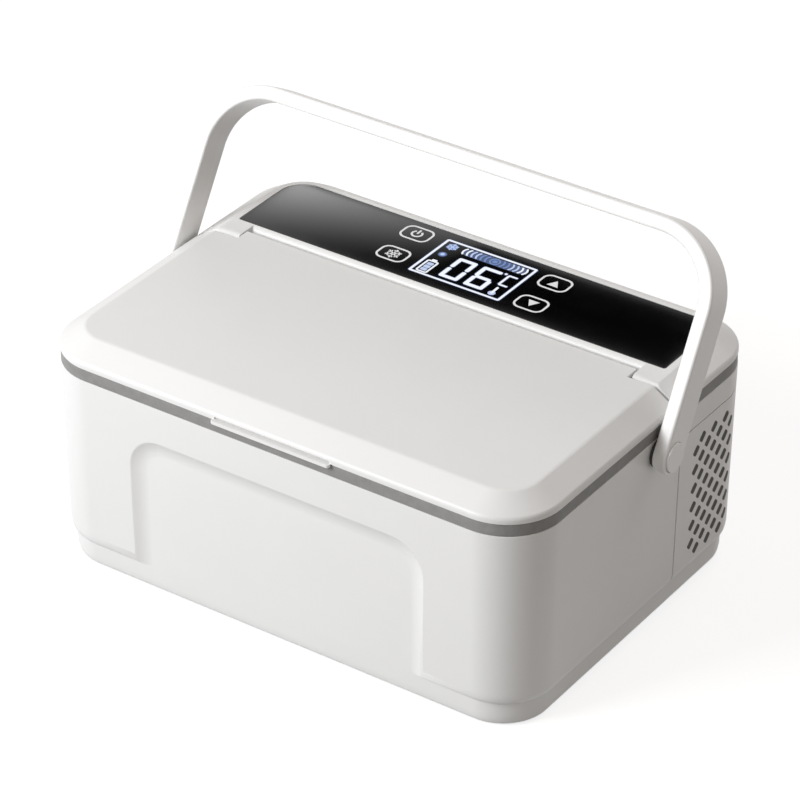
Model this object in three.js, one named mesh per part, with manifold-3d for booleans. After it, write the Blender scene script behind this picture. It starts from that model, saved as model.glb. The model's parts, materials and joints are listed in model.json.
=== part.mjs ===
// Insulin cooling case: a small portable cooler with a hinged lid, a carrying handle, a glass
// control panel and a thermoelectric cooling unit behind the chamber.
// Millimetres, +Z up, front towards -Y, standing on its feet at Z = 0.

import * as THREE from 'three';
import { mergeVertices } from 'three/addons/utils/BufferGeometryUtils.js';
import Module from 'manifold-3d';

const wasm = await Module();
wasm.setup();

// Driving sizes of the case
const caseWidth = 260;
const caseDepth = 193.7;
const cornerRadius = 27.4;
const footProud = 1;
const baseTop = 13.3;
const bandLow = 101.6;
const bandHeight = 6;
const rimHeight = 3;
const chamferRise = 7;
const chamferRun = 11.4;
const draftAngle = 0.84;
const wall = 2.4;
const lipReach = 2.2;

// Clearance between seated pieces, overrun of cutters past a face, and smallest corner radius
const fit = 0.3;
const overrun = 5;
const smallRadius = 1;

// Steps that round shapes are divided into
const cornerSteps = 6;
const roundSteps = 3;
const plateSteps = 3;
const rodSteps = 16;
const boreSteps = 28;
const pinSteps = 12;
const screwSteps = 8;
const bailSteps = 5;
const slotSteps = 3;
const mergeShare = 1e-6;

// Heights and faces that follow from the driving sizes
const bandTop = bandLow + bandHeight;
const rimTop = bandTop + rimHeight;
const caseTop = rimTop + chamferRise;
const halfWidth = caseWidth / 2;
const caseFront = -(caseDepth - lipReach) / 2;
const caseRear = caseFront + caseDepth;
const sides = [-1, 1];

// Skirt of the body, base and feet
const skirtRise = 7;
const skirtInset = 1.9;
const recessDepth = 2.3;
const baseRound = 3;
const postRadius = 5.2;
const postCounterbore = 5;
const bossRadius = 4.2;
const bossHeight = 14;
const bossWeld = 1;
const footRadius = 8;
const footSink = 1.1;
const footInset = 34;

// Arch-shaped recess in the front
const recessSide = 50.5;
const recessDrop = 17.8;
const recessCorner = 18;
const recessSlope = 6;
const recessOver = 1;
const recessHalfWidth = halfWidth - recessSide;
const recessTop = bandLow - recessDrop;

// Rear housing, from the lid's rear edge back
const rearDepth = 75;
const notchSetback = caseDepth - rearDepth;

// Rear cover and its vents
const coverBehind = 7.3;
const coverDrop = 11.6;
const coverSetback = notchSetback + coverBehind;
const coverTop = bandLow - coverDrop;
const seam = 0.4;
const slotLength = 5.8;
const slotWidth = 2.7;
const slotTilt = 45;
const slotPitch = 10;
const slotColumns = 7;
const slotRows = 6;
const slotBehind = 14.5;
const slotDrop = 13.8;
const slotFirstSetback = coverSetback + slotBehind;
const slotFirstHeight = coverTop - slotDrop;
const outletColumns = 9;
const outletRows = 4;
const outletDrop = 18;
const outletFirstOffset = -((outletColumns - 1) * slotPitch) / 4;
const outletFirstHeight = coverTop - outletDrop;
const tabWidth = 22;
const tabOffset = 40;
const tabThickness = 2;
const tabRise = 7;
const tabRoot = 5;

// Seal band, liner and chamber
const bandInset = 0.2;
const bandWidth = 4;
const linerWall = 1.8;
const bulkheadAhead = 0.4;
const bulkheadThickness = 2;
const bulkheadSetback = notchSetback - bulkheadAhead;
const chamberSide = 22;
const chamberAhead = 12.3;
const chamberHalfWidth = halfWidth - chamberSide;
const chamberFrontSetback = 18;
const chamberRearSetback = bulkheadSetback - chamberAhead;
const chamberRadius = 12;
const chamberFloor = 24;
const chamberFillet = 4;

// Cooling unit, its heat sink between the base and the top of the rear cover
const sinkLift = 6.7;
const sinkHalfHeight = (coverTop - baseTop - sinkLift) / 2;
const coolerHeight = coverTop - sinkHalfHeight;
const stemHalf = 20;
const coldPlateHalfWidth = 60;
const coldPlateStep = 10;
const coldPlateHalfHeight = sinkHalfHeight - coldPlateStep;
const coldPlateThickness = 2;
const moduleThickness = 3.8;
const sinkSideGap = 9.6;
const sinkBase = 5;
const sinkFin = 17;
const finThickness = 1.6;
const finPitch = 7;
const fanHalf = 30;
const fanDepth = 15;
const fanCorner = 4;
const fanBore = 28;
const fanHoleOffset = 24.5;
const fanHoleRadius = 1.8;
const fanPlateThickness = 2;
const fanMotorRadius = 13;
const fanStrutHalfWidth = 1.6;
const fanShaftRadius = 1.5;
const fanShaftLength = 9;
const hubRadius = 12.5;
const hubDepth = 10.5;
const bladeCount = 7;
const bladeReach = 26.5;
const bladeThickness = 1.2;
const bladeChord = 11;
const bladeAngle = 38;
const screwHeadRadius = 3.3;
const screwHeadHeight = 1.9;
const screwRadius = 1.5;
const screwGrip = 9;
const fanScrewGrip = 10;

// Batteries, power board, sensor and power socket
const cellRadius = 9.2;
const cellLength = 65;
const cellPitch = 19;
const cellCount = 3;
const cellLowest = 27;
const cellCap = 1.5;
const cellCapRadius = 3;
const holderWall = 1.6;
const holderInset = 6;
const holderGap = 0.6;
const holderOuter = halfWidth - holderInset;
const holderLength = cellLength + 2 * holderGap + 2 * holderWall;
const boardThickness = 1.6;
const standoffLength = 3;
const standoffRadius = 2.5;
const standoffInset = 5;
const powerBoardWidth = 62;
const powerBoardHeight = 62;
const powerBoardLow = 20;
const powerBoardInset = 10;
const coilRadius = 7;
const coilHeight = 9;
const capacitorRadius = 4;
const capacitorHeight = 12;
const partSink = 0.2;
const sensorRadius = 2.5;
const sensorLength = 18;
const sensorSide = 33;
const sensorDrop = 17.6;
const sensorOffset = chamberHalfWidth - sensorSide;
const sensorHeight = bandLow - sensorDrop;
const socketSide = 52;
const socketOffset = halfWidth - socketSide;
const socketHeight = 30;
const socketHalf = 5.6;
const socketDepth = 13;
const socketBore = 3.1;
const socketPin = 1;
const socketBoreDepth = 10;
const socketFlangeHalf = 7.4;
const socketFlange = 0.7;

// Rear top frame, hinge ears and control panel
const hingeBehind = 5.3;
const hingeSetback = notchSetback + hingeBehind;
const hingeDrop = 4.1;
const earGap = 1.3;
const tongueOverhang = 2.5;
const ridgeGap = 3.5;
const earWidth = 23.5;
const earOffset = halfWidth - earWidth;
const earDepthInside = 10;
const tongueSideGap = 0.8;
const frontRound = 3.5;
const frameCeiling = 3.6;
const troughDrop = 4;
const troughFloor = 2;
const panelBorder = 3;
const panelBehind = 14.8;
const panelSetback = notchSetback + panelBehind;
const panelDepth = caseDepth - chamferRun - panelBorder - panelSetback;
const glassThickness = 2;
const windowHalfWidth = 50;
const windowBorder = 3.7;
const displayWidth = 50;
const displayBorder = 5.65;
const displayShift = 0.2;
const displayDepth = panelDepth - 2 * displayBorder;
const displaySetback = panelSetback + panelDepth / 2 + displayShift;
const displayThickness = 4.2;
const keyWidth = 16.3;
const keyDepth = 12.5;
const keyCorner = 4;
const keyInset = 2;
const keyOffset = 38;
const keyFrontShare = 0.29913;
const keyRearShare = 0.75764;
const boardHalfWidth = 61;
const boardBorder = 2.5;
const boardPostInset = 4.5;
const pinRadius = 1.5;
const pinInLid = 7;
const pinInEar = 7;

// Lid
const hingeBlock = 8;
const reliefRise = 2.4;
const reliefRun = 3;
const lipHalfWidth = 31.5;
const lipLow = 0.9;
const lipTop = 1.1;
const lipCorner = 2;
const scoopDepth = 1.2;
const scoopRise = 2.2;
const scoopEnd = 1;
const panelThickness = 2;
const plugInset = 1.5;
const plugDepth = 5.6;
const gasketWidth = 5.2;
const magnetRadius = 4;
const magnetOffset = 70;
const magnetSetback = 9.5;
const magnetSink = 1.9;

// Handle
const pivotBossRadius = 6;
const pivotBossLength = 8;
const pivotBossGap = 0.8;
const pivotAhead = 13.2;
const pivotSetback = notchSetback - pivotAhead;
const pivotHeight = bandLow - pivotBossGap - pivotBossRadius;
const handleTilt = 30;
const armGap = 1.85;
const armThickness = 6.75;
const armOffset = halfWidth + armGap + armThickness;
const armTaper = 0.8;
const handleDepth = 16.6;
const handleRise = 98.3;
const handleCorner = 34.5;
const pivotScrewRadius = 2.4;
const pivotHeadRadius = 5;
const pivotHeadHeight = 2.2;
const pivotHeadSink = 4;
const pivotScrewEnd = 7;
const washerRadius = 7;
const capRadius = 6.9;
const capSink = 1.2;
const capProud = 0.9;

// Points along an arc given in degrees
function arcPoints(x, y, radius, start, end, steps) {
  const points = [];
  for (let i = 0; i <= steps; i += 1) {
    const angle = THREE.MathUtils.degToRad(start + ((end - start) * i) / steps);
    points.push(new THREE.Vector2(x + radius * Math.cos(angle), y + radius * Math.sin(angle)));
  }
  return points;
}

// A rectangle seen from above with round corners, counter-clockwise from its right front corner
function outline(half, front, rear, frontRadius, rearRadius) {
  return [
    ...arcPoints(half - frontRadius, front + frontRadius, frontRadius, -90, 0, cornerSteps),
    ...arcPoints(half - rearRadius, rear - rearRadius, rearRadius, 0, 90, cornerSteps),
    ...arcPoints(rearRadius - half, rear - rearRadius, rearRadius, 90, 180, cornerSteps),
    ...arcPoints(frontRadius - half, front + frontRadius, frontRadius, 180, 270, cornerSteps),
  ];
}

// A three.js geometry as a solid for cutting and joining
function toSolid(geometry) {
  const bare = geometry.clone();
  bare.deleteAttribute('normal');
  bare.deleteAttribute('uv');
  const merged = mergeVertices(bare, mergeShare * caseWidth);
  const mesh = new wasm.Mesh({
    numProp: 3,
    vertProperties: merged.attributes.position.array,
    triVerts: new Uint32Array(merged.index.array),
  });
  return new wasm.Manifold(mesh);
}

// A cut and joined solid back as a three.js geometry
function toGeometry(solid) {
  const mesh = solid.getMesh();
  const geometry = new THREE.BufferGeometry();
  geometry.setAttribute('position', new THREE.BufferAttribute(new Float32Array(mesh.vertProperties), 3));
  geometry.setIndex(new THREE.BufferAttribute(new Uint32Array(mesh.triVerts), 1));
  geometry.computeVertexNormals();
  return geometry;
}

const join = (first, ...others) => others.reduce((sum, other) => sum.add(other), first);
const cut = (body, ...tools) => tools.reduce((rest, tool) => rest.subtract(tool), body);
const common = (first, second) => first.intersect(second);

// A closed convex body through rings of points, each at its own height, lowest first
function loftGeometry(rings) {
  const count = rings[0].points.length;
  const positions = rings.flatMap((ring) => ring.points.flatMap((p) => [p.x, p.y, ring.z]));
  const index = [];
  for (let level = 0; level < rings.length - 1; level += 1) {
    for (let i = 0; i < count; i += 1) {
      const a = level * count + i;
      const b = level * count + ((i + 1) % count);
      index.push(a, b, b + count, a, b + count, a + count);
    }
  }
  const top = (rings.length - 1) * count;
  for (let i = 1; i < count - 1; i += 1) {
    index.push(0, i + 1, i, top, top + i, top + i + 1);
  }
  const geometry = new THREE.BufferGeometry();
  geometry.setAttribute('position', new THREE.Float32BufferAttribute(positions, 3));
  geometry.setIndex(index);
  return geometry;
}

const loft = (rings) => toSolid(loftGeometry(rings));

// A box between two places on each axis
function block(x0, x1, y0, y1, z0, z1) {
  const geometry = new THREE.BoxGeometry(x1 - x0, y1 - y0, z1 - z0);
  return toSolid(geometry.translate((x0 + x1) / 2, (y0 + y1) / 2, (z0 + z1) / 2));
}

// A box on one side of the centre plane, between two distances from it
function sideBlock(side, near, far, y0, y1, z0, z1) {
  return block(Math.min(side * near, side * far), Math.max(side * near, side * far), y0, y1, z0, z1);
}

// Round rods along each axis
function rodX(radius, from, to, y, z, steps = rodSteps) {
  const geometry = new THREE.CylinderGeometry(radius, radius, Math.abs(to - from), steps);
  return toSolid(geometry.rotateZ(Math.PI / 2).translate((from + to) / 2, y, z));
}
function rodY(radius, from, to, x, z, steps = rodSteps) {
  const geometry = new THREE.CylinderGeometry(radius, radius, to - from, steps);
  return toSolid(geometry.translate(x, (from + to) / 2, z));
}
function rodZ(radius, from, to, x, y, steps = rodSteps) {
  const geometry = new THREE.CylinderGeometry(radius, radius, to - from, steps);
  return toSolid(geometry.rotateX(Math.PI / 2).translate(x, y, (from + to) / 2));
}

// A flat shape pushed along X, its own x and y standing for Y and Z
function prismX(shape, from, to, steps = roundSteps) {
  const options = { depth: to - from, bevelEnabled: false, curveSegments: steps };
  const turn = new THREE.Matrix4().set(0, 0, 1, from, 1, 0, 0, 0, 0, 1, 0, 0, 0, 0, 0, 1);
  return toSolid(new THREE.ExtrudeGeometry(shape, options).applyMatrix4(turn));
}

// A flat shape pushed along Y, its own x and y standing for X and Z
function prismY(shape, from, to, steps = roundSteps) {
  const options = { depth: to - from, bevelEnabled: false, curveSegments: steps };
  const turn = new THREE.Matrix4().set(1, 0, 0, 0, 0, 0, -1, to, 0, 1, 0, 0, 0, 0, 0, 1);
  return toSolid(new THREE.ExtrudeGeometry(shape, options).applyMatrix4(turn));
}

// A flat shape pushed up along Z
function prismZ(shape, from, to, steps = roundSteps) {
  const options = { depth: to - from, bevelEnabled: false, curveSegments: steps };
  return toSolid(new THREE.ExtrudeGeometry(shape, options).translate(0, 0, from));
}

const polygon = (...points) => new THREE.Shape(points.map(([x, y]) => new THREE.Vector2(x, y)));

// A flat rectangle with round corners about a centre
function plateShape(x, y, width, height, radius) {
  const right = x + width / 2 - radius;
  const left = x - width / 2 + radius;
  const top = y + height / 2 - radius;
  const low = y - height / 2 + radius;
  return new THREE.Shape([
    ...arcPoints(right, low, radius, -90, 0, plateSteps),
    ...arcPoints(right, top, radius, 0, 90, plateSteps),
    ...arcPoints(left, top, radius, 90, 180, plateSteps),
    ...arcPoints(left, low, radius, 180, 270, plateSteps),
  ]);
}

// Outlines of the case, drawn in from its largest one
const setback = (distance) => caseFront + distance;
const bodyInset = (z) => Math.max(bandLow - z, 0) * Math.tan(THREE.MathUtils.degToRad(draftAngle));

function caseRing(z, inset) {
  const radius = Math.max(cornerRadius - inset, smallRadius);
  return { z, points: outline(halfWidth - inset, caseFront + inset, caseRear - inset, radius, radius) };
}

// The body's skirt curves in at its lower edge
function skirtRings(inset) {
  const rings = [];
  for (let i = 0; i <= roundSteps; i += 1) {
    const angle = ((Math.PI / 2) * i) / roundSteps;
    const z = baseTop + skirtRise * (1 - Math.cos(angle));
    rings.push(caseRing(z, inset + bodyInset(z) + skirtInset * (1 - Math.sin(angle))));
  }
  return rings;
}

const bodyForm = () => loft([...skirtRings(0), caseRing(bandLow, 0)]);

function bodyHollow(inset) {
  const skirt = skirtRings(inset);
  return loft([{ ...skirt[0], z: baseTop - overrun }, ...skirt, caseRing(bandLow + overrun, inset)]);
}

// The case top with its wide chamfer, drawn in by an even wall
function topForm(inset) {
  const slope = Math.atan2(chamferRise, chamferRun);
  const rim = rimTop - inset * (1 / Math.cos(slope) - Math.tan(slope));
  const low = inset > 0 ? bandTop - overrun : bandTop;
  const flat = chamferRun + inset * Math.tan(slope / 2);
  return loft([caseRing(low, inset), caseRing(rim, inset), caseRing(caseTop - inset, flat)]);
}

// Base sizes
const baseInset = bodyInset(baseTop) + recessDepth;
const baseFloor = footProud + wall;
const postReach = cornerRadius - bodyInset(baseTop) - skirtInset - wall - bossRadius + bossWeld;
const postOffset = halfWidth - cornerRadius + postReach * Math.SQRT1_2;
const postFront = caseFront + cornerRadius - postReach * Math.SQRT1_2;
const postRear = caseRear - cornerRadius + postReach * Math.SQRT1_2;
const flangeInset = bandInset + bandWidth + fit;
const flangeTop = bandLow + linerWall;
const bulkheadFront = setback(bulkheadSetback);
const bulkheadRear = bulkheadFront + bulkheadThickness;

// The space inside base, shell and band that the inner pieces keep to
function interior(front, rear, low, high) {
  const atBase = baseInset + wall + fit;
  const aboveSkirt = baseTop + skirtRise;
  const space = loft([
    caseRing(baseFloor + fit, atBase + baseRound / 2),
    caseRing(baseFloor + fit + baseRound / 2, atBase),
    caseRing(baseTop, atBase),
    caseRing(aboveSkirt, bodyInset(aboveSkirt) + wall + fit),
    caseRing(bandLow, flangeInset),
    caseRing(caseTop, flangeInset),
  ]);
  return common(space, block(-halfWidth, halfWidth, front, rear, low, high));
}

// A tapered arch that sinks into the front face, larger by grow for the wall behind it
function recess(grow) {
  const archRing = (z, spread) => {
    const half = recessHalfWidth + spread;
    const top = recessTop + spread;
    const radius = recessCorner + spread;
    const low = baseTop - overrun;
    const foot = [new THREE.Vector2(-half, low), new THREE.Vector2(half, low)];
    const right = arcPoints(half - radius, top - radius, radius, 0, 90, cornerSteps);
    const left = arcPoints(radius - half, top - radius, radius, 90, 180, cornerSteps);
    return { z, points: [...foot, ...right, ...left] };
  };
  const geometry = loftGeometry([
    archRing(-recessDepth - grow, grow - recessSlope),
    archRing(recessOver, grow + (recessSlope * recessOver) / recessDepth),
  ]);
  geometry.rotateX(Math.PI / 2).translate(0, 0, -bandLow);
  geometry.rotateX(THREE.MathUtils.degToRad(draftAngle)).translate(0, caseFront, bandLow);
  return toSolid(geometry);
}

const coverZone = (gap) => block(
  -caseWidth, caseWidth, setback(coverSetback) + gap, caseRear + overrun, -overrun, coverTop - gap,
);

const bodySkin = () => cut(bodyForm(), bodyHollow(wall));

// Pillar inside a corner of the body that takes a base screw
function cornerBoss(side, y) {
  const x = side * postOffset;
  const pillar = rodZ(bossRadius, baseTop, baseTop + bossHeight, x, y, pinSteps);
  return cut(pillar, rodZ(screwRadius + fit, baseTop - overrun, baseTop + screwGrip + fit, x, y, screwSteps));
}

const pivotY = setback(pivotSetback);

function outerShell() {
  const recessWall = common(recess(wall), bodyForm());
  const near = halfWidth - wall - pivotBossLength;
  const bosses = sides.map((side) => rodX(
    pivotBossRadius, side * near, side * (halfWidth - wall / 2), pivotY, pivotHeight,
  ));
  const bores = sides.map((side) => rodX(
    pivotScrewRadius + fit, side * (near + fit), side * (halfWidth + overrun), pivotY, pivotHeight, pinSteps,
  ));
  const whole = cut(join(bodySkin(), recessWall), recess(0), coverZone(0));
  const pillars = sides.map((side) => cornerBoss(side, postFront));
  return cut(join(whole, ...bosses, ...pillars), ...bores);
}

// Slanted slot with round ends, about its own centre
function slotShape(x, y, tilt) {
  const reach = (slotLength - slotWidth) / 2;
  const angle = THREE.MathUtils.degToRad(tilt);
  const dx = reach * Math.cos(angle);
  const dy = reach * Math.sin(angle);
  return new THREE.Shape([
    ...arcPoints(x + dx, y + dy, slotWidth / 2, tilt - 90, tilt + 90, slotSteps),
    ...arcPoints(x - dx, y - dy, slotWidth / 2, tilt + 90, tilt + 270, slotSteps),
  ]);
}

// Places of a staggered field of slots: every second column stands half a pitch higher
function slotPlaces(columns, rows, first, top) {
  const places = [];
  for (let column = 0; column < columns; column += 1) {
    const raised = column % 2;
    for (let row = 0; row < rows + raised; row += 1) {
      places.push([first + (column * slotPitch) / 2, top + (raised * slotPitch) / 2 - row * slotPitch]);
    }
  }
  return places;
}

function sideSlots() {
  const places = slotPlaces(slotColumns, slotRows, setback(slotFirstSetback), slotFirstHeight);
  return places.map(([y, z]) => prismX(slotShape(y, z, slotTilt), -caseWidth, caseWidth));
}

function outletSlots() {
  const places = slotPlaces(outletColumns, outletRows, outletFirstOffset, outletFirstHeight);
  const front = caseRear - wall - overrun;
  return places.map(([x, z]) => prismY(slotShape(x, z, slotTilt), front, caseRear + overrun));
}

// Tab that hooks the rear cover behind the shell's upper ring
function coverTab(side) {
  const face = caseRear - bodyInset(coverTop) - wall - fit;
  const from = tabOffset - tabWidth / 2;
  const to = tabOffset + tabWidth / 2;
  const front = face - tabThickness;
  const low = coverTop - tabRoot;
  const rootTop = coverTop - seam - tabThickness;
  const tongue = sideBlock(side, from, to, front, face, low, coverTop + tabRise);
  return join(tongue, sideBlock(side, from, to, front, face + wall / 2, low, rootTop));
}

function rearCover() {
  const skin = common(bodySkin(), coverZone(seam));
  const pillars = sides.map((side) => cornerBoss(side, postRear));
  const hole = socketHalf + fit;
  const socketHole = block(
    -socketOffset - hole, -socketOffset + hole, caseRear - socketDepth, caseRear + overrun,
    socketHeight - hole, socketHeight + hole,
  );
  return cut(join(skin, ...pillars, ...sides.map(coverTab)), socketHole, ...sideSlots(), ...outletSlots());
}

function baseForm() {
  const rings = [];
  for (let i = 0; i <= roundSteps; i += 1) {
    const angle = ((Math.PI / 2) * i) / roundSteps;
    const z = footProud + baseRound * (1 - Math.cos(angle));
    rings.push(caseRing(z, baseInset + baseRound * (1 - Math.sin(angle))));
  }
  return loft([...rings, caseRing(baseTop, baseInset)]);
}

const footPlaces = sides.flatMap((side) => [
  [side * (halfWidth - footInset), caseFront + footInset],
  [side * (halfWidth - footInset), caseRear - footInset],
]);
const postPlaces = sides.flatMap((side) => [
  [side * postOffset, postFront],
  [side * postOffset, postRear],
]);

function baseTray() {
  const form = baseForm();
  const hollow = loft([
    caseRing(baseFloor, baseInset + wall + baseRound / 2),
    caseRing(baseFloor + baseRound / 2, baseInset + wall),
    caseRing(baseTop + overrun, baseInset + wall),
  ]);
  const posts = postPlaces.map(([x, y]) => rodZ(postRadius, footProud, baseTop, x, y));
  const body = join(cut(form, hollow), ...posts.map((post) => common(post, form)));
  const pockets = footPlaces.map(([x, y]) => rodZ(
    footRadius + fit, footProud - overrun, footProud + footSink + fit, x, y,
  ));
  const headHoles = postPlaces.map(([x, y]) => rodZ(
    screwHeadRadius + fit, footProud - overrun, footProud + postCounterbore, x, y, pinSteps,
  ));
  const shankHoles = postPlaces.map(([x, y]) => rodZ(
    screwRadius + fit, footProud, baseTop + overrun, x, y, screwSteps,
  ));
  return cut(body, ...pockets, ...headHoles, ...shankHoles);
}

function sealBand() {
  const inner = bandInset + bandWidth;
  return cut(
    loft([caseRing(bandLow, bandInset), caseRing(bandTop, bandInset)]),
    loft([caseRing(bandLow - overrun, inner), caseRing(bandTop + overrun, inner)]),
  );
}

// The chamber's outline, grown by an amount
function chamberRing(z, grow) {
  const half = chamberHalfWidth + grow;
  const front = setback(chamberFrontSetback) - grow;
  const rear = setback(chamberRearSetback) + grow;
  const radius = Math.max(chamberRadius + grow, smallRadius);
  return { z, points: outline(half, front, rear, radius, radius) };
}

function tubForm(grow, top) {
  const floor = chamberFloor - grow;
  return loft([
    chamberRing(floor, grow - chamberFillet),
    chamberRing(floor + chamberFillet, grow),
    chamberRing(top, grow),
  ]);
}

const stemHole = (from, to) => block(
  -stemHalf - fit, stemHalf + fit, from, to, coolerHeight - stemHalf - fit, coolerHeight + stemHalf + fit,
);

function innerLiner() {
  const flangePoints = outline(
    halfWidth - flangeInset, caseFront + flangeInset, bulkheadFront - fit,
    cornerRadius - flangeInset, smallRadius,
  );
  const flange = loft([{ z: bandLow, points: flangePoints }, { z: flangeTop, points: flangePoints }]);
  const rear = setback(chamberRearSetback);
  const body = join(tubForm(linerWall, flangeTop), flange);
  return cut(body, tubForm(0, flangeTop + overrun), stemHole(rear - chamberRadius, rear + overrun));
}

function insulationFoam() {
  const foamRear = bulkheadFront - fit;
  const rear = setback(chamberRearSetback);
  const slab = interior(caseFront, foamRear, baseFloor, bandLow - fit);
  const bossEnd = halfWidth - wall - pivotBossLength - fit;
  const bosses = sides.map((side) => rodX(
    pivotBossRadius + fit, side * bossEnd, side * halfWidth, pivotY, pivotHeight,
  ));
  const posts = sides.map((side) => rodZ(
    postRadius + fit, baseFloor, baseTop + bossHeight + fit, side * postOffset, postFront,
  ));
  const tub = tubForm(linerWall + fit, bandLow + overrun);
  return cut(slab, tub, stemHole(rear, foamRear + overrun), recess(wall + fit), ...bosses, ...posts);
}

// Aluminium plate in the chamber with the stem that carries its cold to the module
function coldBlock() {
  const face = setback(chamberRearSetback) - fit;
  const plate = block(
    -coldPlateHalfWidth, coldPlateHalfWidth, face - coldPlateThickness, face,
    coolerHeight - coldPlateHalfHeight, coolerHeight + coldPlateHalfHeight,
  );
  const stem = block(
    -stemHalf, stemHalf, face - coldPlateThickness, bulkheadFront - fit,
    coolerHeight - stemHalf, coolerHeight + stemHalf,
  );
  return join(plate, stem);
}

const moduleRear = bulkheadFront + moduleThickness;
const sinkFront = moduleRear + fit;
const sinkRear = sinkFront + sinkBase + sinkFin;
const fanFront = sinkRear + fit;

const coolingModule = () => block(
  -stemHalf, stemHalf, bulkheadFront, moduleRear, coolerHeight - stemHalf, coolerHeight + stemHalf,
);

// Board and battery places behind the bulkhead
const boardFront = bulkheadRear + standoffLength + fit;
const boardOuter = halfWidth - powerBoardInset;
const boardPlaces = [standoffInset, powerBoardWidth - standoffInset].flatMap((across) => [
  [across - boardOuter, powerBoardLow + standoffInset],
  [across - boardOuter, powerBoardLow + powerBoardHeight - standoffInset],
]);

function bulkheadPlate() {
  const plate = interior(bulkheadFront, bulkheadRear, baseFloor, bandTop - troughDrop - fit);
  const standoffs = boardPlaces.map(([x, z]) => rodY(
    standoffRadius, bulkheadRear - partSink, bulkheadRear + standoffLength, x, z, pinSteps,
  ));
  return join(cut(plate, stemHole(bulkheadFront - overrun, bulkheadRear + overrun)), ...standoffs);
}

// Comb of cooling fins on a base plate
function heatSink() {
  const baseRear = sinkFront + sinkBase;
  const sinkHalfWidth = holderOuter - holderLength - sinkSideGap;
  const finsEachSide = Math.floor((sinkHalfWidth - finThickness / 2) / finPitch);
  const points = [[-sinkHalfWidth, sinkFront], [sinkHalfWidth, sinkFront], [sinkHalfWidth, baseRear]];
  for (let i = finsEachSide; i >= -finsEachSide; i -= 1) {
    const right = i * finPitch + finThickness / 2;
    const left = i * finPitch - finThickness / 2;
    points.push([right, baseRear], [right, sinkRear], [left, sinkRear], [left, baseRear]);
  }
  points.push([-sinkHalfWidth, baseRear]);
  return prismZ(polygon(...points), coolerHeight - sinkHalfHeight, coolerHeight + sinkHalfHeight);
}

const fanHoles = sides.flatMap((side) => sides.map((up) => [side * fanHoleOffset, up * fanHoleOffset]));

// Square fan body about its own axis, with the motor plate and its shaft at the rear
function fanFrame() {
  const frame = cut(
    prismY(plateShape(0, 0, 2 * fanHalf, 2 * fanHalf, fanCorner), 0, fanDepth),
    rodY(fanBore, -overrun, fanDepth + overrun, 0, 0, boreSteps),
    ...fanHoles.map(([x, z]) => rodY(fanHoleRadius, -overrun, fanDepth + overrun, x, z, screwSteps)),
  );
  const plateFront = fanDepth - fanPlateThickness;
  const reach = (fanBore + fanHalf) / 2;
  const struts = [
    block(-reach, reach, plateFront, fanDepth, -fanStrutHalfWidth, fanStrutHalfWidth),
    block(-fanStrutHalfWidth, fanStrutHalfWidth, plateFront, fanDepth, -reach, reach),
  ];
  const plate = rodY(fanMotorRadius, plateFront, fanDepth, 0, 0);
  const shaft = rodY(fanShaftRadius, plateFront - fanShaftLength, fanDepth, 0, 0, pinSteps);
  return join(frame, ...struts, plate, shaft);
}

// Hub with its blades, turning on the shaft
function fanRotor() {
  const rear = fanDepth - fanPlateThickness - fit;
  const front = rear - hubDepth;
  const middle = (front + rear) / 2;
  const blades = [];
  for (let i = 0; i < bladeCount; i += 1) {
    const length = bladeReach - hubRadius / 2;
    const blade = new THREE.BoxGeometry(length, bladeThickness, bladeChord);
    blade.rotateX(THREE.MathUtils.degToRad(bladeAngle));
    blade.translate((bladeReach + hubRadius / 2) / 2, 0, 0);
    blade.rotateY((2 * Math.PI * i) / bladeCount).translate(0, middle, 0);
    blades.push(toSolid(blade));
  }
  const bore = rodY(fanShaftRadius + fit, rear - fanShaftLength - fit, rear + overrun, 0, 0, pinSteps);
  return cut(join(rodY(hubRadius, front, rear, 0, 0), ...blades), bore);
}

// Pan-head screw pointing along +Y from the underside of its head at zero
function panScrewY(grip) {
  return join(
    rodY(screwHeadRadius, -screwHeadHeight, 0, 0, 0, pinSteps),
    rodY(screwRadius, -screwHeadHeight / 2, grip, 0, 0, screwSteps),
  );
}

const cellY = bulkheadRear + fit + holderWall + fit + cellRadius;

// Open tray with an end wall at each end and a rib between the cells
function batteryHolder() {
  const inner = holderOuter - holderLength;
  const front = bulkheadRear + fit;
  const low = cellLowest - cellPitch / 2;
  const high = low + cellCount * cellPitch;
  const back = block(inner, holderOuter, front, front + holderWall, low, high);
  const ends = [inner, holderOuter - holderWall].map((x) => block(
    x, x + holderWall, front, cellY + cellRadius / 2, low, high,
  ));
  const ribRear = cellY - cellRadius / 2;
  const ribs = [];
  for (let i = 1; i < cellCount; i += 1) {
    const z = low + i * cellPitch;
    const half = cellPitch / 2 - cellRadius - fit / 2;
    ribs.push(block(inner, holderOuter, front, ribRear, z - half / 2, z + half / 2));
  }
  return join(back, ...ends, ...ribs);
}

const batteryCell = () => join(
  rodX(cellRadius, -cellLength / 2, cellLength / 2 - cellCap, 0, 0),
  rodX(cellCapRadius, 0, cellLength / 2, 0, 0, pinSteps),
);

function powerBoard() {
  const rear = boardFront + boardThickness;
  const left = -boardOuter;
  const top = powerBoardLow + powerBoardHeight;
  const board = block(left, left + powerBoardWidth, boardFront, rear, powerBoardLow, top);
  const middle = powerBoardLow + powerBoardHeight / 2;
  const coil = rodY(coilRadius, rear - partSink, rear + coilHeight, left + powerBoardWidth / 3, middle);
  const capacitors = [1, 2].map((place) => rodY(
    capacitorRadius, rear - partSink, rear + capacitorHeight,
    left + (2 * powerBoardWidth) / 3, middle + (place - 3 / 2) * 3 * capacitorRadius, pinSteps,
  ));
  return join(board, coil, ...capacitors);
}

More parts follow.
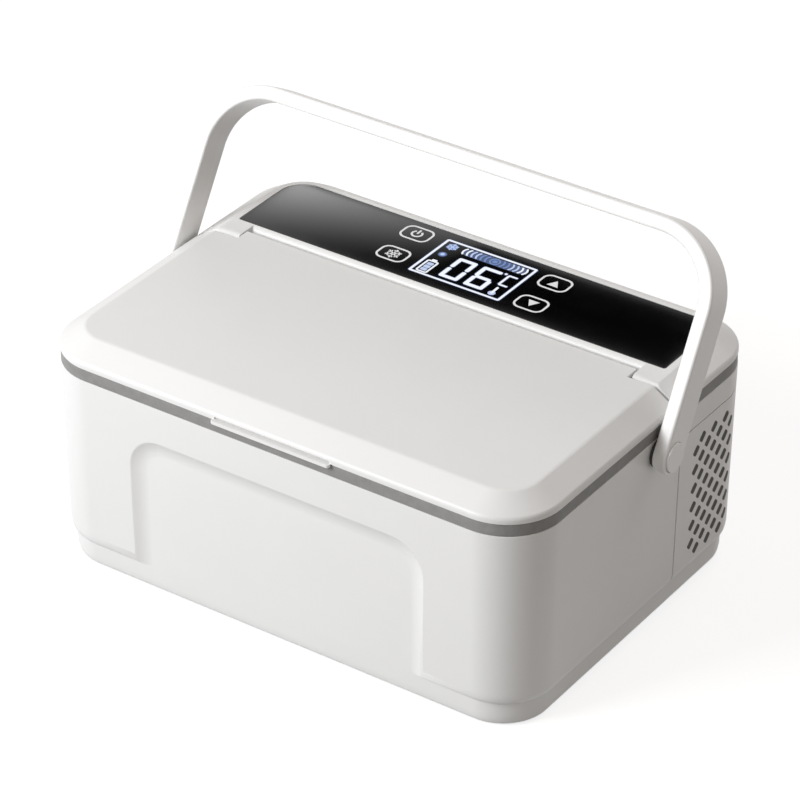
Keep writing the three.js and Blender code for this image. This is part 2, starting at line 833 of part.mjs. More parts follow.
// Round power inlet with its centre pin, its mouth in the rear cover
function powerSocket() {
  const face = caseRear - bodyInset(socketHeight) + fit;
  const x = -socketOffset;
  const z = socketHeight;
  const mouth = face + socketFlange;
  const body = block(
    x - socketHalf, x + socketHalf, face - socketDepth, mouth, z - socketHalf, z + socketHalf,
  );
  const flangeSize = 2 * socketFlangeHalf;
  const flange = prismY(plateShape(x, z, flangeSize, flangeSize, socketFlangeHalf / 3), face, mouth);
  const floor = mouth - socketBoreDepth;
  const bore = rodY(socketBore, floor, face + overrun, x, z);
  return join(cut(join(body, flange), bore), rodY(socketPin, floor - partSink, face, x, z, pinSteps));
}

const temperatureSensor = () => rodX(
  sensorRadius, sensorOffset, sensorOffset + sensorLength,
  setback(chamberRearSetback) - fit - sensorRadius, sensorHeight, pinSteps,
);

// Hinge line, ears and control panel places
const hingeY = setback(hingeSetback);
const hingeZ = caseTop - hingeDrop;
const notchRear = setback(notchSetback);
const earFront = notchRear + earGap;
const tongueRear = hingeY + tongueOverhang;
const ridgeFront = tongueRear + ridgeGap;
const tongueHalf = earOffset - tongueSideGap;
const panelHalf = halfWidth - chamferRun - panelBorder;
const panelFront = setback(panelSetback);
const panelRear = caseRear - chamferRun - panelBorder;
const panelRadius = cornerRadius - chamferRun - panelBorder;
const glassLow = caseTop - glassThickness;
const displayTop = glassLow - fit;
const boardTop = displayTop - displayThickness - fit;

// What is cut away to round the upper front edge of the ridge or of an ear
function edgeRound(front, from, to) {
  const shape = new THREE.Shape()
    .moveTo(front - overrun, caseTop + overrun)
    .lineTo(front - overrun, caseTop - frontRound)
    .absarc(front + frontRound, caseTop - frontRound, frontRound, Math.PI, Math.PI / 2, true)
    .lineTo(front + frontRound, caseTop + overrun);
  return prismX(shape, from, to);
}

const panelOutline = (grow) => outline(
  panelHalf + grow, panelFront - grow, panelRear + grow, smallRadius, panelRadius + grow,
);

function frameZone() {
  const low = bandTop - overrun;
  const high = caseTop + overrun;
  const main = block(-caseWidth, caseWidth, ridgeFront, caseRear + overrun, low, high);
  const ears = sides.map((side) => sideBlock(
    side, earOffset, caseWidth, earFront, ridgeFront + overrun, low, high,
  ));
  return join(main, ...ears);
}

// Trough under the hinge line that closes the gap between lid and ridge
function hingeTrough() {
  const low = bandTop - troughDrop;
  const outer = earOffset + earDepthInside;
  const rear = ridgeFront + wall;
  const floor = block(-outer, outer, notchRear, rear, low, low + troughFloor);
  const riser = block(-outer, outer, ridgeFront, rear, low, bandTop + fit);
  const ends = sides.map((side) => sideBlock(side, earOffset, outer, earFront, rear, low, bandTop + fit));
  return join(floor, riser, ...ends);
}

const boardPosts = sides.flatMap((side) => [
  [side * (boardHalfWidth - boardPostInset), panelFront + boardBorder + boardPostInset],
  [side * (boardHalfWidth - boardPostInset), panelRear - boardBorder - boardPostInset],
]);

function rearTopFrame() {
  const solid = common(topForm(0), frameZone());
  const hollow = common(topForm(wall), block(
    -caseWidth, caseWidth, ridgeFront + wall, caseRear, bandTop - overrun, caseTop - frameCeiling,
  ));
  const ridgeEdge = edgeRound(ridgeFront, -earOffset, earOffset);
  const earEdges = sides.map((side) => edgeRound(
    earFront, Math.min(side * earOffset, side * caseWidth), Math.max(side * earOffset, side * caseWidth),
  ));
  const posts = boardPosts.map(([x, y]) => rodZ(
    standoffRadius, boardTop + fit, caseTop - frameCeiling + partSink, x, y, pinSteps,
  ));
  const body = join(cut(solid, hollow, ridgeEdge, ...earEdges), hingeTrough(), ...posts);
  const points = panelOutline(fit);
  const pocket = loft([{ z: glassLow - fit, points }, { z: caseTop + overrun, points }]);
  const window = block(
    -windowHalfWidth, windowHalfWidth, panelFront + windowBorder, panelRear - windowBorder,
    caseTop - frameCeiling - overrun, caseTop,
  );
  const boreEnd = earOffset + pinInEar + fit;
  const bores = sides.map((side) => rodX(
    pinRadius + fit, side * (earOffset - overrun), side * boreEnd, hingeY, hingeZ, pinSteps,
  ));
  return cut(body, pocket, window, ...bores);
}

const panelGlass = () => loft([
  { z: glassLow, points: panelOutline(0) },
  { z: caseTop, points: panelOutline(0) },
]);

const displayModule = () => block(
  -displayWidth / 2, displayWidth / 2,
  setback(displaySetback) - displayDepth / 2, setback(displaySetback) + displayDepth / 2,
  displayTop - displayThickness, displayTop,
);

const touchPad = () => prismZ(
  plateShape(0, 0, keyWidth - 2 * keyInset, keyDepth - 2 * keyInset, keyCorner - keyInset),
  displayTop - displayThickness, displayTop,
);

const controlBoard = () => block(
  -boardHalfWidth, boardHalfWidth, panelFront + boardBorder, panelRear - boardBorder,
  boardTop - boardThickness, boardTop,
);

// The lid's plan: its full width up to the notch, then the tongue between the ears
function lidZone(inset) {
  const low = bandTop - overrun;
  const high = caseTop + overrun;
  const main = block(-caseWidth, caseWidth, caseFront - overrun, notchRear - inset, low, high);
  const half = tongueHalf - inset;
  return join(main, block(-half, half, caseFront, tongueRear - inset, low, high));
}

// Pull lip along the front, with round ends
function pullLip() {
  const front = caseFront - lipReach;
  const low = bandTop - lipLow;
  const high = bandTop + lipTop;
  const profile = polygon(
    [front, low], [caseFront - fit, low], [caseFront - fit, bandTop],
    [caseFront + wall, bandTop], [caseFront + wall, high], [front, high],
  );
  const plan = plateShape(0, front + overrun, 2 * lipHalfWidth, 2 * overrun, lipCorner);
  return common(prismX(profile, -lipHalfWidth, lipHalfWidth), prismZ(plan, low - overrun, high + overrun));
}

// Finger scoop over the lip
function lipScoop() {
  const floor = bandTop + lipTop;
  const half = lipHalfWidth - scoopEnd;
  const profile = polygon(
    [caseFront - overrun, floor], [caseFront + scoopDepth, floor],
    [caseFront + scoopDepth / 2, floor + scoopRise], [caseFront - overrun, floor + scoopRise],
  );
  return prismX(profile, -half, half);
}

// Cut that keeps the tongue's lower rear edge clear of the trough as it turns
function tongueRelief() {
  return prismX(polygon(
    [tongueRear - reliefRun, bandTop], [tongueRear - reliefRun, bandTop - overrun],
    [tongueRear + overrun, bandTop - overrun], [tongueRear + overrun, bandTop + reliefRise],
    [tongueRear, bandTop + reliefRise],
  ), -caseWidth, caseWidth);
}

function lidShell() {
  const form = common(topForm(0), lidZone(0));
  const hollow = common(topForm(wall), lidZone(wall));
  const blocks = sides.map((side) => common(form, sideBlock(
    side, tongueHalf - hingeBlock, tongueHalf, notchRear - wall, tongueRear, bandTop, caseTop,
  )));
  const bores = sides.map((side) => rodX(
    pinRadius + fit, side * (tongueHalf - hingeBlock - overrun), side * (tongueHalf + overrun),
    hingeY, hingeZ, pinSteps,
  ));
  const shell = join(cut(form, hollow), ...blocks);
  return join(cut(shell, ...bores, tongueRelief(), lipScoop()), pullLip());
}

const panelLow = bandTop + fit;
const panelTop = panelLow + panelThickness;

function lidFoam() {
  const front = caseFront - overrun;
  const rear = notchRear - wall - fit;
  return common(topForm(wall + fit), block(-caseWidth, caseWidth, front, rear, panelTop + fit, caseTop));
}

const magnetPlaces = sides.map((side) => [side * magnetOffset, setback(magnetSetback)]);

// Flat inner face of the lid with the plug that sits in the chamber's mouth
function lidInnerPanel() {
  const plate = common(topForm(wall + fit), block(
    -caseWidth, caseWidth, caseFront, notchRear - wall - fit, panelLow, panelTop,
  ));
  const plug = loft([chamberRing(panelLow - plugDepth, -plugInset), chamberRing(panelTop, -plugInset)]);
  const pockets = magnetPlaces.map(([x, y]) => rodZ(
    magnetRadius + fit, panelLow - overrun, bandTop + magnetSink + fit, x, y,
  ));
  return cut(join(plate, plug), ...pockets);
}

function lidGasket() {
  const low = flangeTop + fit;
  const high = panelLow - fit;
  const inner = fit - plugInset;
  return cut(
    loft([chamberRing(low, inner + gasketWidth), chamberRing(high, inner + gasketWidth)]),
    loft([chamberRing(low - overrun, inner), chamberRing(high + overrun, inner)]),
  );
}

const lidMagnet = () => rodZ(magnetRadius, bandTop, bandTop + magnetSink, 0, 0);
const bodyMagnet = () => rodZ(magnetRadius, flangeTop + fit, bandTop - fit, 0, 0);
const hingePin = () => rodX(pinRadius, tongueHalf - pinInLid, earOffset + pinInEar, 0, 0, pinSteps);

// One bent bail about its pivot axis, standing upright
function handleBail() {
  const low = -handleDepth / 2;
  const top = handleRise;
  const shoulder = top - handleCorner;
  const outer = armOffset - armTaper;
  const bend = outer - handleCorner;
  const innerCorner = handleCorner - armThickness;
  const shape = new THREE.Shape()
    .moveTo(armOffset, low)
    .lineTo(outer, shoulder)
    .absarc(bend, shoulder, handleCorner, 0, Math.PI / 2)
    .absarc(-bend, shoulder, handleCorner, Math.PI / 2, Math.PI)
    .lineTo(-armOffset, low)
    .lineTo(armThickness - armOffset, low)
    .lineTo(armThickness - outer, shoulder)
    .absarc(-bend, shoulder, innerCorner, Math.PI, Math.PI / 2, true)
    .absarc(bend, shoulder, innerCorner, Math.PI / 2, 0, true)
    .lineTo(armOffset - armThickness, low);
  const profile = new THREE.Shape()
    .moveTo(handleDepth / 2, top + overrun)
    .lineTo(-handleDepth / 2, top + overrun)
    .absarc(0, 0, handleDepth / 2, Math.PI, 2 * Math.PI);
  const bail = common(
    prismY(shape, -handleDepth / 2, handleDepth / 2, bailSteps),
    prismX(profile, -caseWidth, caseWidth, pinSteps),
  );
  const holes = sides.flatMap((side) => [
    rodX(pivotScrewRadius + fit, side * halfWidth, side * (armOffset + overrun), 0, 0, pinSteps),
    rodX(pivotHeadRadius + fit, side * (armOffset - pivotHeadSink), side * (armOffset + overrun), 0, 0),
    rodX(capRadius + fit, side * (armOffset - capSink - fit), side * (armOffset + overrun), 0, 0),
  ]);
  return cut(bail, ...holes);
}

const pivotCap = () => rodX(capRadius, armOffset - capSink, armOffset + capProud, 0, 0);

// Shoulder screw that the handle turns on
function pivotScrew() {
  const headInner = armOffset - pivotHeadSink + fit;
  return join(
    rodX(pivotHeadRadius, headInner, headInner + pivotHeadHeight, 0, 0),
    rodX(pivotScrewRadius, halfWidth - wall - pivotScrewEnd, headInner + pivotHeadHeight / 2, 0, 0, pinSteps),
  );
}

const pivotWasher = () => cut(
  rodX(washerRadius, halfWidth + fit, armOffset - armThickness - fit, 0, 0),
  rodX(pivotScrewRadius + fit, halfWidth - overrun, armOffset + overrun, 0, 0, pinSteps),
);

// Finishes seen in the photograph or usual inside such a case
function finish(color, roughness, metalness = 0) {
  return new THREE.MeshStandardMaterial({ color, roughness, metalness });
}
const whitePlastic = () => finish(0xe9e8e6, 0.38);
const darkRubber = () => finish(0x4a4743, 0.7);
const blackGlass = () => finish(0x070707, 0.06);
const bareAluminium = () => finish(0xb9bcc0, 0.35, 1);
const plainSteel = () => finish(0x9a9a9c, 0.3, 1);
const greenBoard = () => finish(0x1f5a3a, 0.5);
const blackPlastic = () => finish(0x1b1b1c, 0.5);
const paleFoam = () => finish(0xe8e2cf, 0.95);
const greyPlastic = () => finish(0xc9cbcd, 0.5);
const blueWrap = () => finish(0x2f6fb0, 0.4);

function piece(name, solid, material) {
  const mesh = new THREE.Mesh(toGeometry(solid), material);
  mesh.name = name;
  return mesh;
}

const sideName = (side) => (side < 0 ? 'left' : 'right');

// A group with its pieces, placed in the case
function assembly(x, y, z, ...pieces) {
  const group = new THREE.Group();
  group.position.set(x, y, z);
  group.add(...pieces);
  return group;
}

// The same piece at several places, numbered from one
function copies(name, places, make, material) {
  return places.map(([x, y], i) => {
    const mesh = piece(`${name}_${i + 1}`, make(), material());
    mesh.position.set(x, y, 0);
    return mesh;
  });
}

// A piece on each side, turned half a turn about Z on the left
function pair(name, make, material) {
  return sides.map((side) => {
    const mesh = piece(`${name}_${sideName(side)}`, make(), material());
    mesh.rotation.z = side < 0 ? Math.PI : 0;
    return mesh;
  });
}

const baseScrewSeat = footProud + postCounterbore - fit;
const baseScrew = () => join(
  rodZ(screwHeadRadius, baseScrewSeat - screwHeadHeight, baseScrewSeat, 0, 0, pinSteps),
  rodZ(screwRadius, baseScrewSeat - screwHeadHeight / 2, baseTop + screwGrip, 0, 0, screwSteps),
);

const body = new THREE.Group();
body.add(
  piece('outer_shell', outerShell(), whitePlastic()),
  piece('base_tray', baseTray(), whitePlastic()),
  piece('rear_cover', rearCover(), whitePlastic()),
  piece('seal_band', sealBand(), darkRubber()),
  piece('inner_liner', innerLiner(), greyPlastic()),
  piece('insulation_foam', insulationFoam(), paleFoam()),
  piece('bulkhead_plate', bulkheadPlate(), greyPlastic()),
  piece('rear_top_frame', rearTopFrame(), whitePlastic()),
  ...copies('foot', footPlaces, () => rodZ(footRadius, 0, footProud + footSink, 0, 0), darkRubber),
  ...copies('base_screw', postPlaces, baseScrew, plainSteel),
  ...copies('body_magnet', magnetPlaces, bodyMagnet, plainSteel),
);

const cooler = new THREE.Group();
cooler.add(
  piece('cold_block', coldBlock(), bareAluminium()),
  piece('cooling_module', coolingModule(), greyPlastic()),
  piece('heat_sink', heatSink(), bareAluminium()),
  piece('temperature_sensor', temperatureSensor(), plainSteel()),
);

const fanScrews = fanHoles.map(([x, z], i) => {
  const screw = piece(`fan_screw_${i + 1}`, panScrewY(fanDepth + fanScrewGrip), plainSteel());
  screw.position.set(x, fanDepth + fit, z);
  screw.rotation.z = Math.PI;
  return screw;
});
const fan = assembly(
  0, fanFront, coolerHeight,
  piece('fan_frame', fanFrame(), blackPlastic()),
  piece('fan_rotor', fanRotor(), blackPlastic()),
  ...fanScrews,
);

const cells = [];
for (let i = 0; i < cellCount; i += 1) {
  const cell = piece(`battery_cell_${i + 1}`, batteryCell(), blueWrap());
  cell.position.set(holderOuter - holderLength / 2, cellY, cellLowest + i * cellPitch);
  cells.push(cell);
}
const power = new THREE.Group();
power.add(
  piece('battery_holder', batteryHolder(), blackPlastic()),
  ...cells,
  piece('power_board', powerBoard(), greenBoard()),
  piece('power_socket', powerSocket(), blackPlastic()),
);

const keyPlaces = sides.flatMap((side) => [
  [side * keyOffset, panelFront + keyRearShare * panelDepth],
  [side * keyOffset, panelFront + keyFrontShare * panelDepth],
]);
const panel = new THREE.Group();
panel.add(
  piece('control_panel_glass', panelGlass(), blackGlass()),
  piece('display_module', displayModule(), blackPlastic()),
  piece('control_board', controlBoard(), greenBoard()),
  ...copies('touch_pad', keyPlaces, touchPad, darkRubber),
);

const lid = new THREE.Group();
lid.add(
  piece('lid_shell', lidShell(), whitePlastic()),
  piece('lid_foam', lidFoam(), paleFoam()),
  piece('lid_inner_panel', lidInnerPanel(), greyPlastic()),
  piece('lid_gasket', lidGasket(), darkRubber()),
  ...copies('lid_magnet', magnetPlaces, lidMagnet, plainSteel),
);

const hinge = assembly(0, hingeY, hingeZ, ...pair('hinge_pin', hingePin, plainSteel));

const handle = assembly(
  0, pivotY, pivotHeight,
  piece('handle_bail', handleBail(), whitePlastic()),
  ...pair('pivot_cap', pivotCap, whitePlastic),
);
handle.rotation.x = -THREE.MathUtils.degToRad(handleTilt);

const pivots = assembly(
  0, pivotY, pivotHeight,
  ...pair('pivot_screw', pivotScrew, plainSteel),
  ...pair('pivot_washer', pivotWasher, blackPlastic),
);

const coolingCase = new THREE.Group();
coolingCase.add(body, cooler, fan, power, panel, lid, hinge, handle, pivots);

export default coolingCase;
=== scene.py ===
import json
from math import atan2, cos, pi, radians, sin, sqrt, tan

import bmesh
import bpy
from mathutils import Matrix, Vector


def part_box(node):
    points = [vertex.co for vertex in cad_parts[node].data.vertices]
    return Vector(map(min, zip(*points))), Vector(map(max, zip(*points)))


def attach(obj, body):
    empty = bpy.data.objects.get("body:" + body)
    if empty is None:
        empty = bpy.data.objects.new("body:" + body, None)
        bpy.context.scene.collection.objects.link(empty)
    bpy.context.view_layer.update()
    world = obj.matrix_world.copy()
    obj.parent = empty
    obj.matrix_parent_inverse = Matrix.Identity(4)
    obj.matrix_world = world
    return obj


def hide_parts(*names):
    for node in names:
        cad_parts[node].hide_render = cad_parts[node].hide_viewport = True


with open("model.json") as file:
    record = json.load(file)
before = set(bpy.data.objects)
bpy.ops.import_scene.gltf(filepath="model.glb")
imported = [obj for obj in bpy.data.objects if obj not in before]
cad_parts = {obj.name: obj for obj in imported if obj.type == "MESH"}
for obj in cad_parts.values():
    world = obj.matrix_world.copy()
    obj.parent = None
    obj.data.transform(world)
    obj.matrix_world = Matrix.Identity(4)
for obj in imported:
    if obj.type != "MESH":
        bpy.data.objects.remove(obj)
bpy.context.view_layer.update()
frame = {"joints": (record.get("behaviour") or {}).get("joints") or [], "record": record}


# Camera
# A long lens from the front right and above, turned a hair, as the case is photographed.
azimuth, elevation, roll = radians(34.4167), radians(32.3674), radians(0.2127)
lens_pixels = 3916.3
picture_width = 800
sensor_width, farthest_seen = 36, 20
aim = Vector((0, -0.00575, 0.06))
distance, aside, above = 1.766997, 0.004377, 0.018743

back = Vector((sin(azimuth) * cos(elevation), -cos(azimuth) * cos(elevation), sin(elevation)))
level = Vector((cos(azimuth), sin(azimuth), 0))
upright = back.cross(level)
right = level * cos(roll) + upright * sin(roll)
upward = upright * cos(roll) - level * sin(roll)


def put(name, data):
    piece = bpy.data.objects.new(name, data)
    bpy.context.collection.objects.link(piece)
    return piece


camera_data = bpy.data.cameras.new("camera")
camera_data.sensor_width = sensor_width
camera_data.lens = lens_pixels * sensor_width / picture_width
camera_data.clip_end = farthest_seen
camera = put("camera", camera_data)
camera.matrix_world = Matrix.Translation(aim + back * distance + right * aside + upward * above) @ (
    Matrix((right, upward, back)).transposed().to_4x4())
bpy.context.scene.camera = camera
bpy.context.scene.view_settings.view_transform = "Standard"


# Floor and light
# A white sweep under and behind the case, a broad soft lamp at its front left, a weak one high up
# behind it, and an even, faintly warm glow from the room. The floor keeps a soft shadow of the case.
floor_size = 6
floor_white = (0.42, 0.42, 0.42)
seen_white = (0.40, 0.40, 0.40)
floor_glow = 0.77
room_glow = 0.29
room_tint, lamp_tint = (1.10, 1.0, 0.92), (0.97, 1.0, 1.025)
plain_white = (1.0, 1.0, 1.0)
front_lamp_place, front_lamp_size, front_lamp_watts = (-0.65, -1.05, 0.8), 0.7, 18
rear_lamp_place, rear_lamp_size, rear_lamp_watts = (0.3, 1.0, 1.3), 1, 5
lamp_aim = (0, 0, 0.05)


class Value:
    """A number on a socket of a finish. Arithmetic on it adds Math nodes."""

    def __init__(self, finish, socket):
        self.finish, self.socket = finish, socket

    def math(self, operation, *numbers):
        return self.finish.node("ShaderNodeMath", {"operation": operation}, dict(enumerate(numbers)))

    def __add__(self, other):
        return self.math("ADD", self, other)

    def __sub__(self, other):
        return self.math("SUBTRACT", self, other)

    def __rsub__(self, other):
        return self.math("SUBTRACT", other, self)

    def __mul__(self, other):
        return self.math("MULTIPLY", self, other)

    __radd__, __rmul__ = __add__, __mul__

    def above(self, other):
        return self.math("GREATER_THAN", self, other)


class Finish:
    """A node material. What is even all over is set on the shader's own sockets."""

    def __init__(self, name, colour=None, world=None, **even):
        self.material = world or bpy.data.materials.new(name)
        self.material.use_nodes = True
        self.tree = self.material.node_tree
        self.shader = self.tree.nodes.get("Background" if world else "Principled BSDF")
        if colour:
            self.shader.inputs["Base Color"].default_value = (*colour, 1)
        for socket, value in even.items():
            self.shader.inputs[socket.replace("_", " ").title()].default_value = value

    def node(self, kind, settings=None, inputs=None, output=0):
        """Adds a node, sets it up, fills its sockets with numbers or links, and gives an output."""
        node = self.tree.nodes.new(kind)
        for name, value in (settings or {}).items():
            setattr(node, name, value)
        for name, value in (inputs or {}).items():
            self.feed(node.inputs[name], value)
        return Value(self, node.outputs[output])

    def feed(self, socket, value):
        if isinstance(value, Value):
            self.tree.links.new(value.socket, socket)
        else:
            socket.default_value = value

    def own_points(self):
        """Points in the piece's own space."""
        return self.node("ShaderNodeTexCoord", output="Object")

    def noise(self, scale, detail=2, rough=0.5, stretch=(1, 1, 1)):
        spread = self.node("ShaderNodeMapping", None, {"Vector": self.own_points(), "Scale": stretch})
        return self.node("ShaderNodeTexNoise", None, {
            "Vector": spread, "Scale": scale, "Detail": detail, "Roughness": rough})

    def blend(self, amount, first, second):
        """A colour between two others. A mix node has its colours on sockets 6 and 7."""
        return self.node("ShaderNodeMix", {"data_type": "RGBA"}, {
            0: amount, 6: (*first, 1), 7: (*second, 1)}, output=2)

    def bump(self, height, depth):
        """Relief of the given depth, in metres, from a height between 0 and 1."""
        normal = self.node("ShaderNodeBump", None, {"Height": height, "Distance": depth, "Strength": 1})
        self.feed(self.shader.inputs["Normal"], normal)

    def vary(self, socket, value):
        self.feed(self.shader.inputs[socket], value)

    def mottle(self, amount, colour, low, high=1, socket="Base Color"):
        """A colour that goes from one shade of itself to another."""
        dark, pale = (tuple(min(c * share, 1) for c in colour) for share in (low, high))
        self.vary(socket, self.blend(amount, dark, pale))

    def uneven_gloss(self, amount, rough, spread):
        self.vary("Roughness", amount * spread + (rough - spread / 2))


floor_finish = Finish("floor_paper")
paper = floor_finish.node("ShaderNodeBsdfDiffuse", None, {"Color": (*floor_white, 1)})
seen_paper = floor_finish.node("ShaderNodeBsdfDiffuse", None, {"Color": (*seen_white, 1)})
glow = floor_finish.node("ShaderNodeEmission", None, {"Color": (*plain_white, 1), "Strength": floor_glow})
seen = floor_finish.node("ShaderNodeAddShader", None, {0: seen_paper, 1: glow})


def looked_at(finish):
    """1 for what the camera sees, straight or in metal and glass, and 0 for what lights the case."""
    camera_ray, glossy_ray, through_ray = (finish.node("ShaderNodeLightPath", output=f"Is {kind} Ray")
                                           for kind in ("Camera", "Glossy", "Transmission"))
    return camera_ray.math("MAXIMUM", camera_ray.math("MAXIMUM", camera_ray, glossy_ray), through_ray)


mixed = floor_finish.node("ShaderNodeMixShader", None, {0: looked_at(floor_finish), 1: paper, 2: seen})
floor_finish.tree.links.new(mixed.socket, floor_finish.tree.nodes["Material Output"].inputs["Surface"])
floor_mesh = bmesh.new()
bmesh.ops.create_grid(floor_mesh, x_segments=1, y_segments=1, size=floor_size / 2)
floor_data = bpy.data.meshes.new("floor")
floor_mesh.to_mesh(floor_data)
floor_mesh.free()
floor = put("floor", floor_data)
floor_data.materials.append(floor_finish.material)

bpy.context.scene.world = bpy.data.worlds.new("room")
room = Finish("room", world=bpy.context.scene.world)
room_seen = looked_at(room)
room.vary("Color", room.blend(room_seen, room_tint, plain_white))
room.vary("Strength", room_seen * (1 - room_glow) + room_glow)


def soft_lamp(name, place, size, watts):
    lamp = bpy.data.lights.new(name, "AREA")
    lamp.shape, lamp.size, lamp.energy, lamp.color = "SQUARE", size, watts, lamp_tint
    put(name, lamp).matrix_world = Matrix.Translation(place) @ (
        (Vector(place) - Vector(lamp_aim)).to_track_quat("Z", "Y").to_matrix().to_4x4())


soft_lamp("front_lamp", front_lamp_place, front_lamp_size, front_lamp_watts)
soft_lamp("rear_lamp", rear_lamp_place, rear_lamp_size, rear_lamp_watts)


# Body shell
# The white body is one injection moulding in satin ABS, with drafted sides, a skirt that curves
# in at the foot and a shallow arch pressed into its front. The rear cover closes it behind.
shell_low, shell_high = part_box("outer_shell")
corner_radius = 0.0274
corner_steps = 14
draft = radians(0.84)
wall = 0.0024
skirt_rise, skirt_inset = 0.005, 0.0017
skirt_rows = 6
recess_half, recess_top, recess_corner = 0.0795, 0.0838, 0.018
recess_depth, recess_slope, recess_rows = 0.0030, 0.0095, 8
recess_below, recess_draft = 0.012, radians(0.38)
cover_front, cover_top, seam = 0.03025, 0.09, 0.0004
edge_round = 0.0005
weld = 0.00002
crease = radians(38)
clear, beyond = 0.005, 1
level_slack, facing = 1e-6, 0.9
case_white = (0.815, 0.81, 0.80)
satin_rough, satin_grain = 0.42, 0.000004
cloud_scale, sheen_scale, grain_scale = 38, 160, 5200
cloud_low, cloud_high, sheen_spread = 0.985, 1.012, 0.08


def moulded(name, colour, rough, grain=satin_grain):
    """Satin moulded plastic: a fine even grain, a faint mottle in its gloss, barely uneven colour."""
    finish = Finish(name, colour, roughness=rough)
    finish.mottle(finish.noise(cloud_scale, 3), colour, cloud_low, cloud_high)
    finish.uneven_gloss(finish.noise(sheen_scale), rough, sheen_spread)
    finish.bump(finish.noise(grain_scale), grain)
    return finish.material


case_plastic = moulded("case_plastic", case_white, satin_rough)


def bevel(bm, edges, width, steps):
    bmesh.ops.bevel(bm, geom=edges, offset=width, segments=steps, profile=0.5, affect="EDGES", material=-1)


def shift(bm, offset, points=None):
    bmesh.ops.translate(bm, vec=offset, verts=points or bm.verts)


def swing(bm, angle, axis, centre=(0, 0, 0)):
    bmesh.ops.rotate(bm, cent=centre, matrix=Matrix.Rotation(angle, 3, axis), verts=bm.verts)


def resize(bm, sizes):
    bmesh.ops.scale(bm, vec=sizes, verts=bm.verts)


def transform(bm, matrix):
    bmesh.ops.transform(bm, matrix=matrix, verts=bm.verts)


def only(kind, parts):
    return [part for part in parts if isinstance(part, kind)]


def reach(edge, axis):
    """How far an edge goes along an axis."""
    return abs(edge.verts[0].co[axis] - edge.verts[1].co[axis])


def at_level(edge, height):
    return all(abs(v.co.z - height) < level_slack for v in edge.verts)


def block(low, high, radius=0, front_radius=None, steps=corner_steps):
    """A closed box whose upright edges are rounded."""
    bm = bmesh.new()
    bmesh.ops.create_cube(bm, size=1)
    resize(bm, Vector(high) - Vector(low))
    shift(bm, (Vector(low) + Vector(high)) / 2)
    middle = (low[1] + high[1]) / 2
    for size, at_front in ((radius if front_radius is None else front_radius, True), (radius, False)):
        upright_edges = [e for e in bm.edges if reach(e, 2) > level_slack > reach(e, 0)
                         and (e.verts[0].co.y < middle) == at_front and e.calc_face_angle(0) > crease]
        if size:
            bevel(bm, upright_edges, size, steps)
    return bm


def about(middle, half):
    return middle - half, middle + half


def zone(x=about(0, beyond), y=about(0, beyond), z=about(0, beyond)):
    """A box by its ranges. Where it is given none, it goes past the case."""
    return block(*zip(x, y, z))


def slice_rows(bm, heights):
    for height in heights:
        bmesh.ops.bisect_plane(bm, geom=bm.verts[:] + bm.edges[:] + bm.faces[:],
                               plane_co=(0, 0, height), plane_no=(0, 0, 1))


def round_rows(low, rise, rows):
    """Heights at even turns of a quarter round that stands on a level."""
    return [low + rise * (1 - cos(pi / 2 * row / rows)) for row in range(1, rows + 1)]


def round_inset(height, low, rise, inset):
    """How far a quarter round at the foot of a wall stands in at a height."""
    share = min(max((height - low) / rise, 0), 1)
    return inset * (1 - sqrt(1 - (1 - share) ** 2))


def draw_in(bm, low, high, radius, inset):
    """Moves each point of a rounded block inwards, square to its outline, by inset(height)."""
    for vert in bm.verts:
        core = Vector((min(max(vert.co.x, low[0] + radius), high[0] - radius),
                       min(max(vert.co.y, low[1] + radius), high[1] - radius), vert.co.z))
        out = vert.co - core
        vert.co = core + out * (1 - inset(vert.co.z) / out.length)


def to_object(name, bm):
    bmesh.ops.recalc_face_normals(bm, faces=bm.faces)
    mesh = bpy.data.meshes.new(name)
    bm.to_mesh(mesh)
    bm.free()
    return put(name, mesh)


def drop(piece):
    """Deletes a helper object and its mesh."""
    mesh = piece.data
    bpy.data.objects.remove(piece)
    bpy.data.meshes.remove(mesh)


def carve(piece, tool, operation="DIFFERENCE"):
    """Cuts the piece by a closed tool mesh, or joins or keeps what they share."""
    cutter = to_object("tool", tool)
    boolean = piece.modifiers.new("carve", "BOOLEAN")
    boolean.operation, boolean.object, boolean.solver = operation, cutter, "EXACT"
    graph = bpy.context.evaluated_depsgraph_get()
    mesh = bpy.data.meshes.new_from_object(piece.evaluated_get(graph))
    piece.modifiers.clear()
    old, piece.data = piece.data, mesh
    bpy.data.meshes.remove(old)
    mesh.name = piece.name
    drop(cutter)


def soften(piece, width=edge_round, steps=2, kept=lambda edge: False):
    """Rounds the sharp outer edges of a carved piece, but for those that are kept."""
    bm = bmesh.new()
    bm.from_mesh(piece.data)
    bmesh.ops.remove_doubles(bm, verts=bm.verts, dist=weld)
    sharp = [e for e in bm.edges if e.is_convex and e.calc_face_angle(0) > crease and not kept(e)]
    bevel(bm, sharp, width, steps)
    bm.to_mesh(piece.data)
    bm.free()


def dress(piece, material, body, slot, *nodes):
    """Smooths the piece, gives it its finish, rides it on its body and hides the nodes it stands for."""
    piece.data.shade_smooth()
    piece.data.set_sharp_from_angle(angle=crease)
    weigh = piece.modifiers.new("face_weights", "WEIGHTED_NORMAL")
    weigh.keep_sharp = True
    piece.data.materials.clear()
    piece.data.materials.append(material)
    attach(piece, body)
    if nodes:
        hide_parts(*nodes)


def body_inset(height):
    """How far the body's side stands in from its widest line at a height."""
    drafted = max(shell_high.z - height, 0) * tan(draft)
    return drafted + round_inset(height, shell_low.z, skirt_rise, skirt_inset)


def body_form(deeper=0.0):
    bm = block(shell_low, shell_high, corner_radius)
    slice_rows(bm, round_rows(shell_low.z, skirt_rise, skirt_rows))
    draw_in(bm, shell_low, shell_high, corner_radius, lambda height: body_inset(height) + deeper)
    return bm


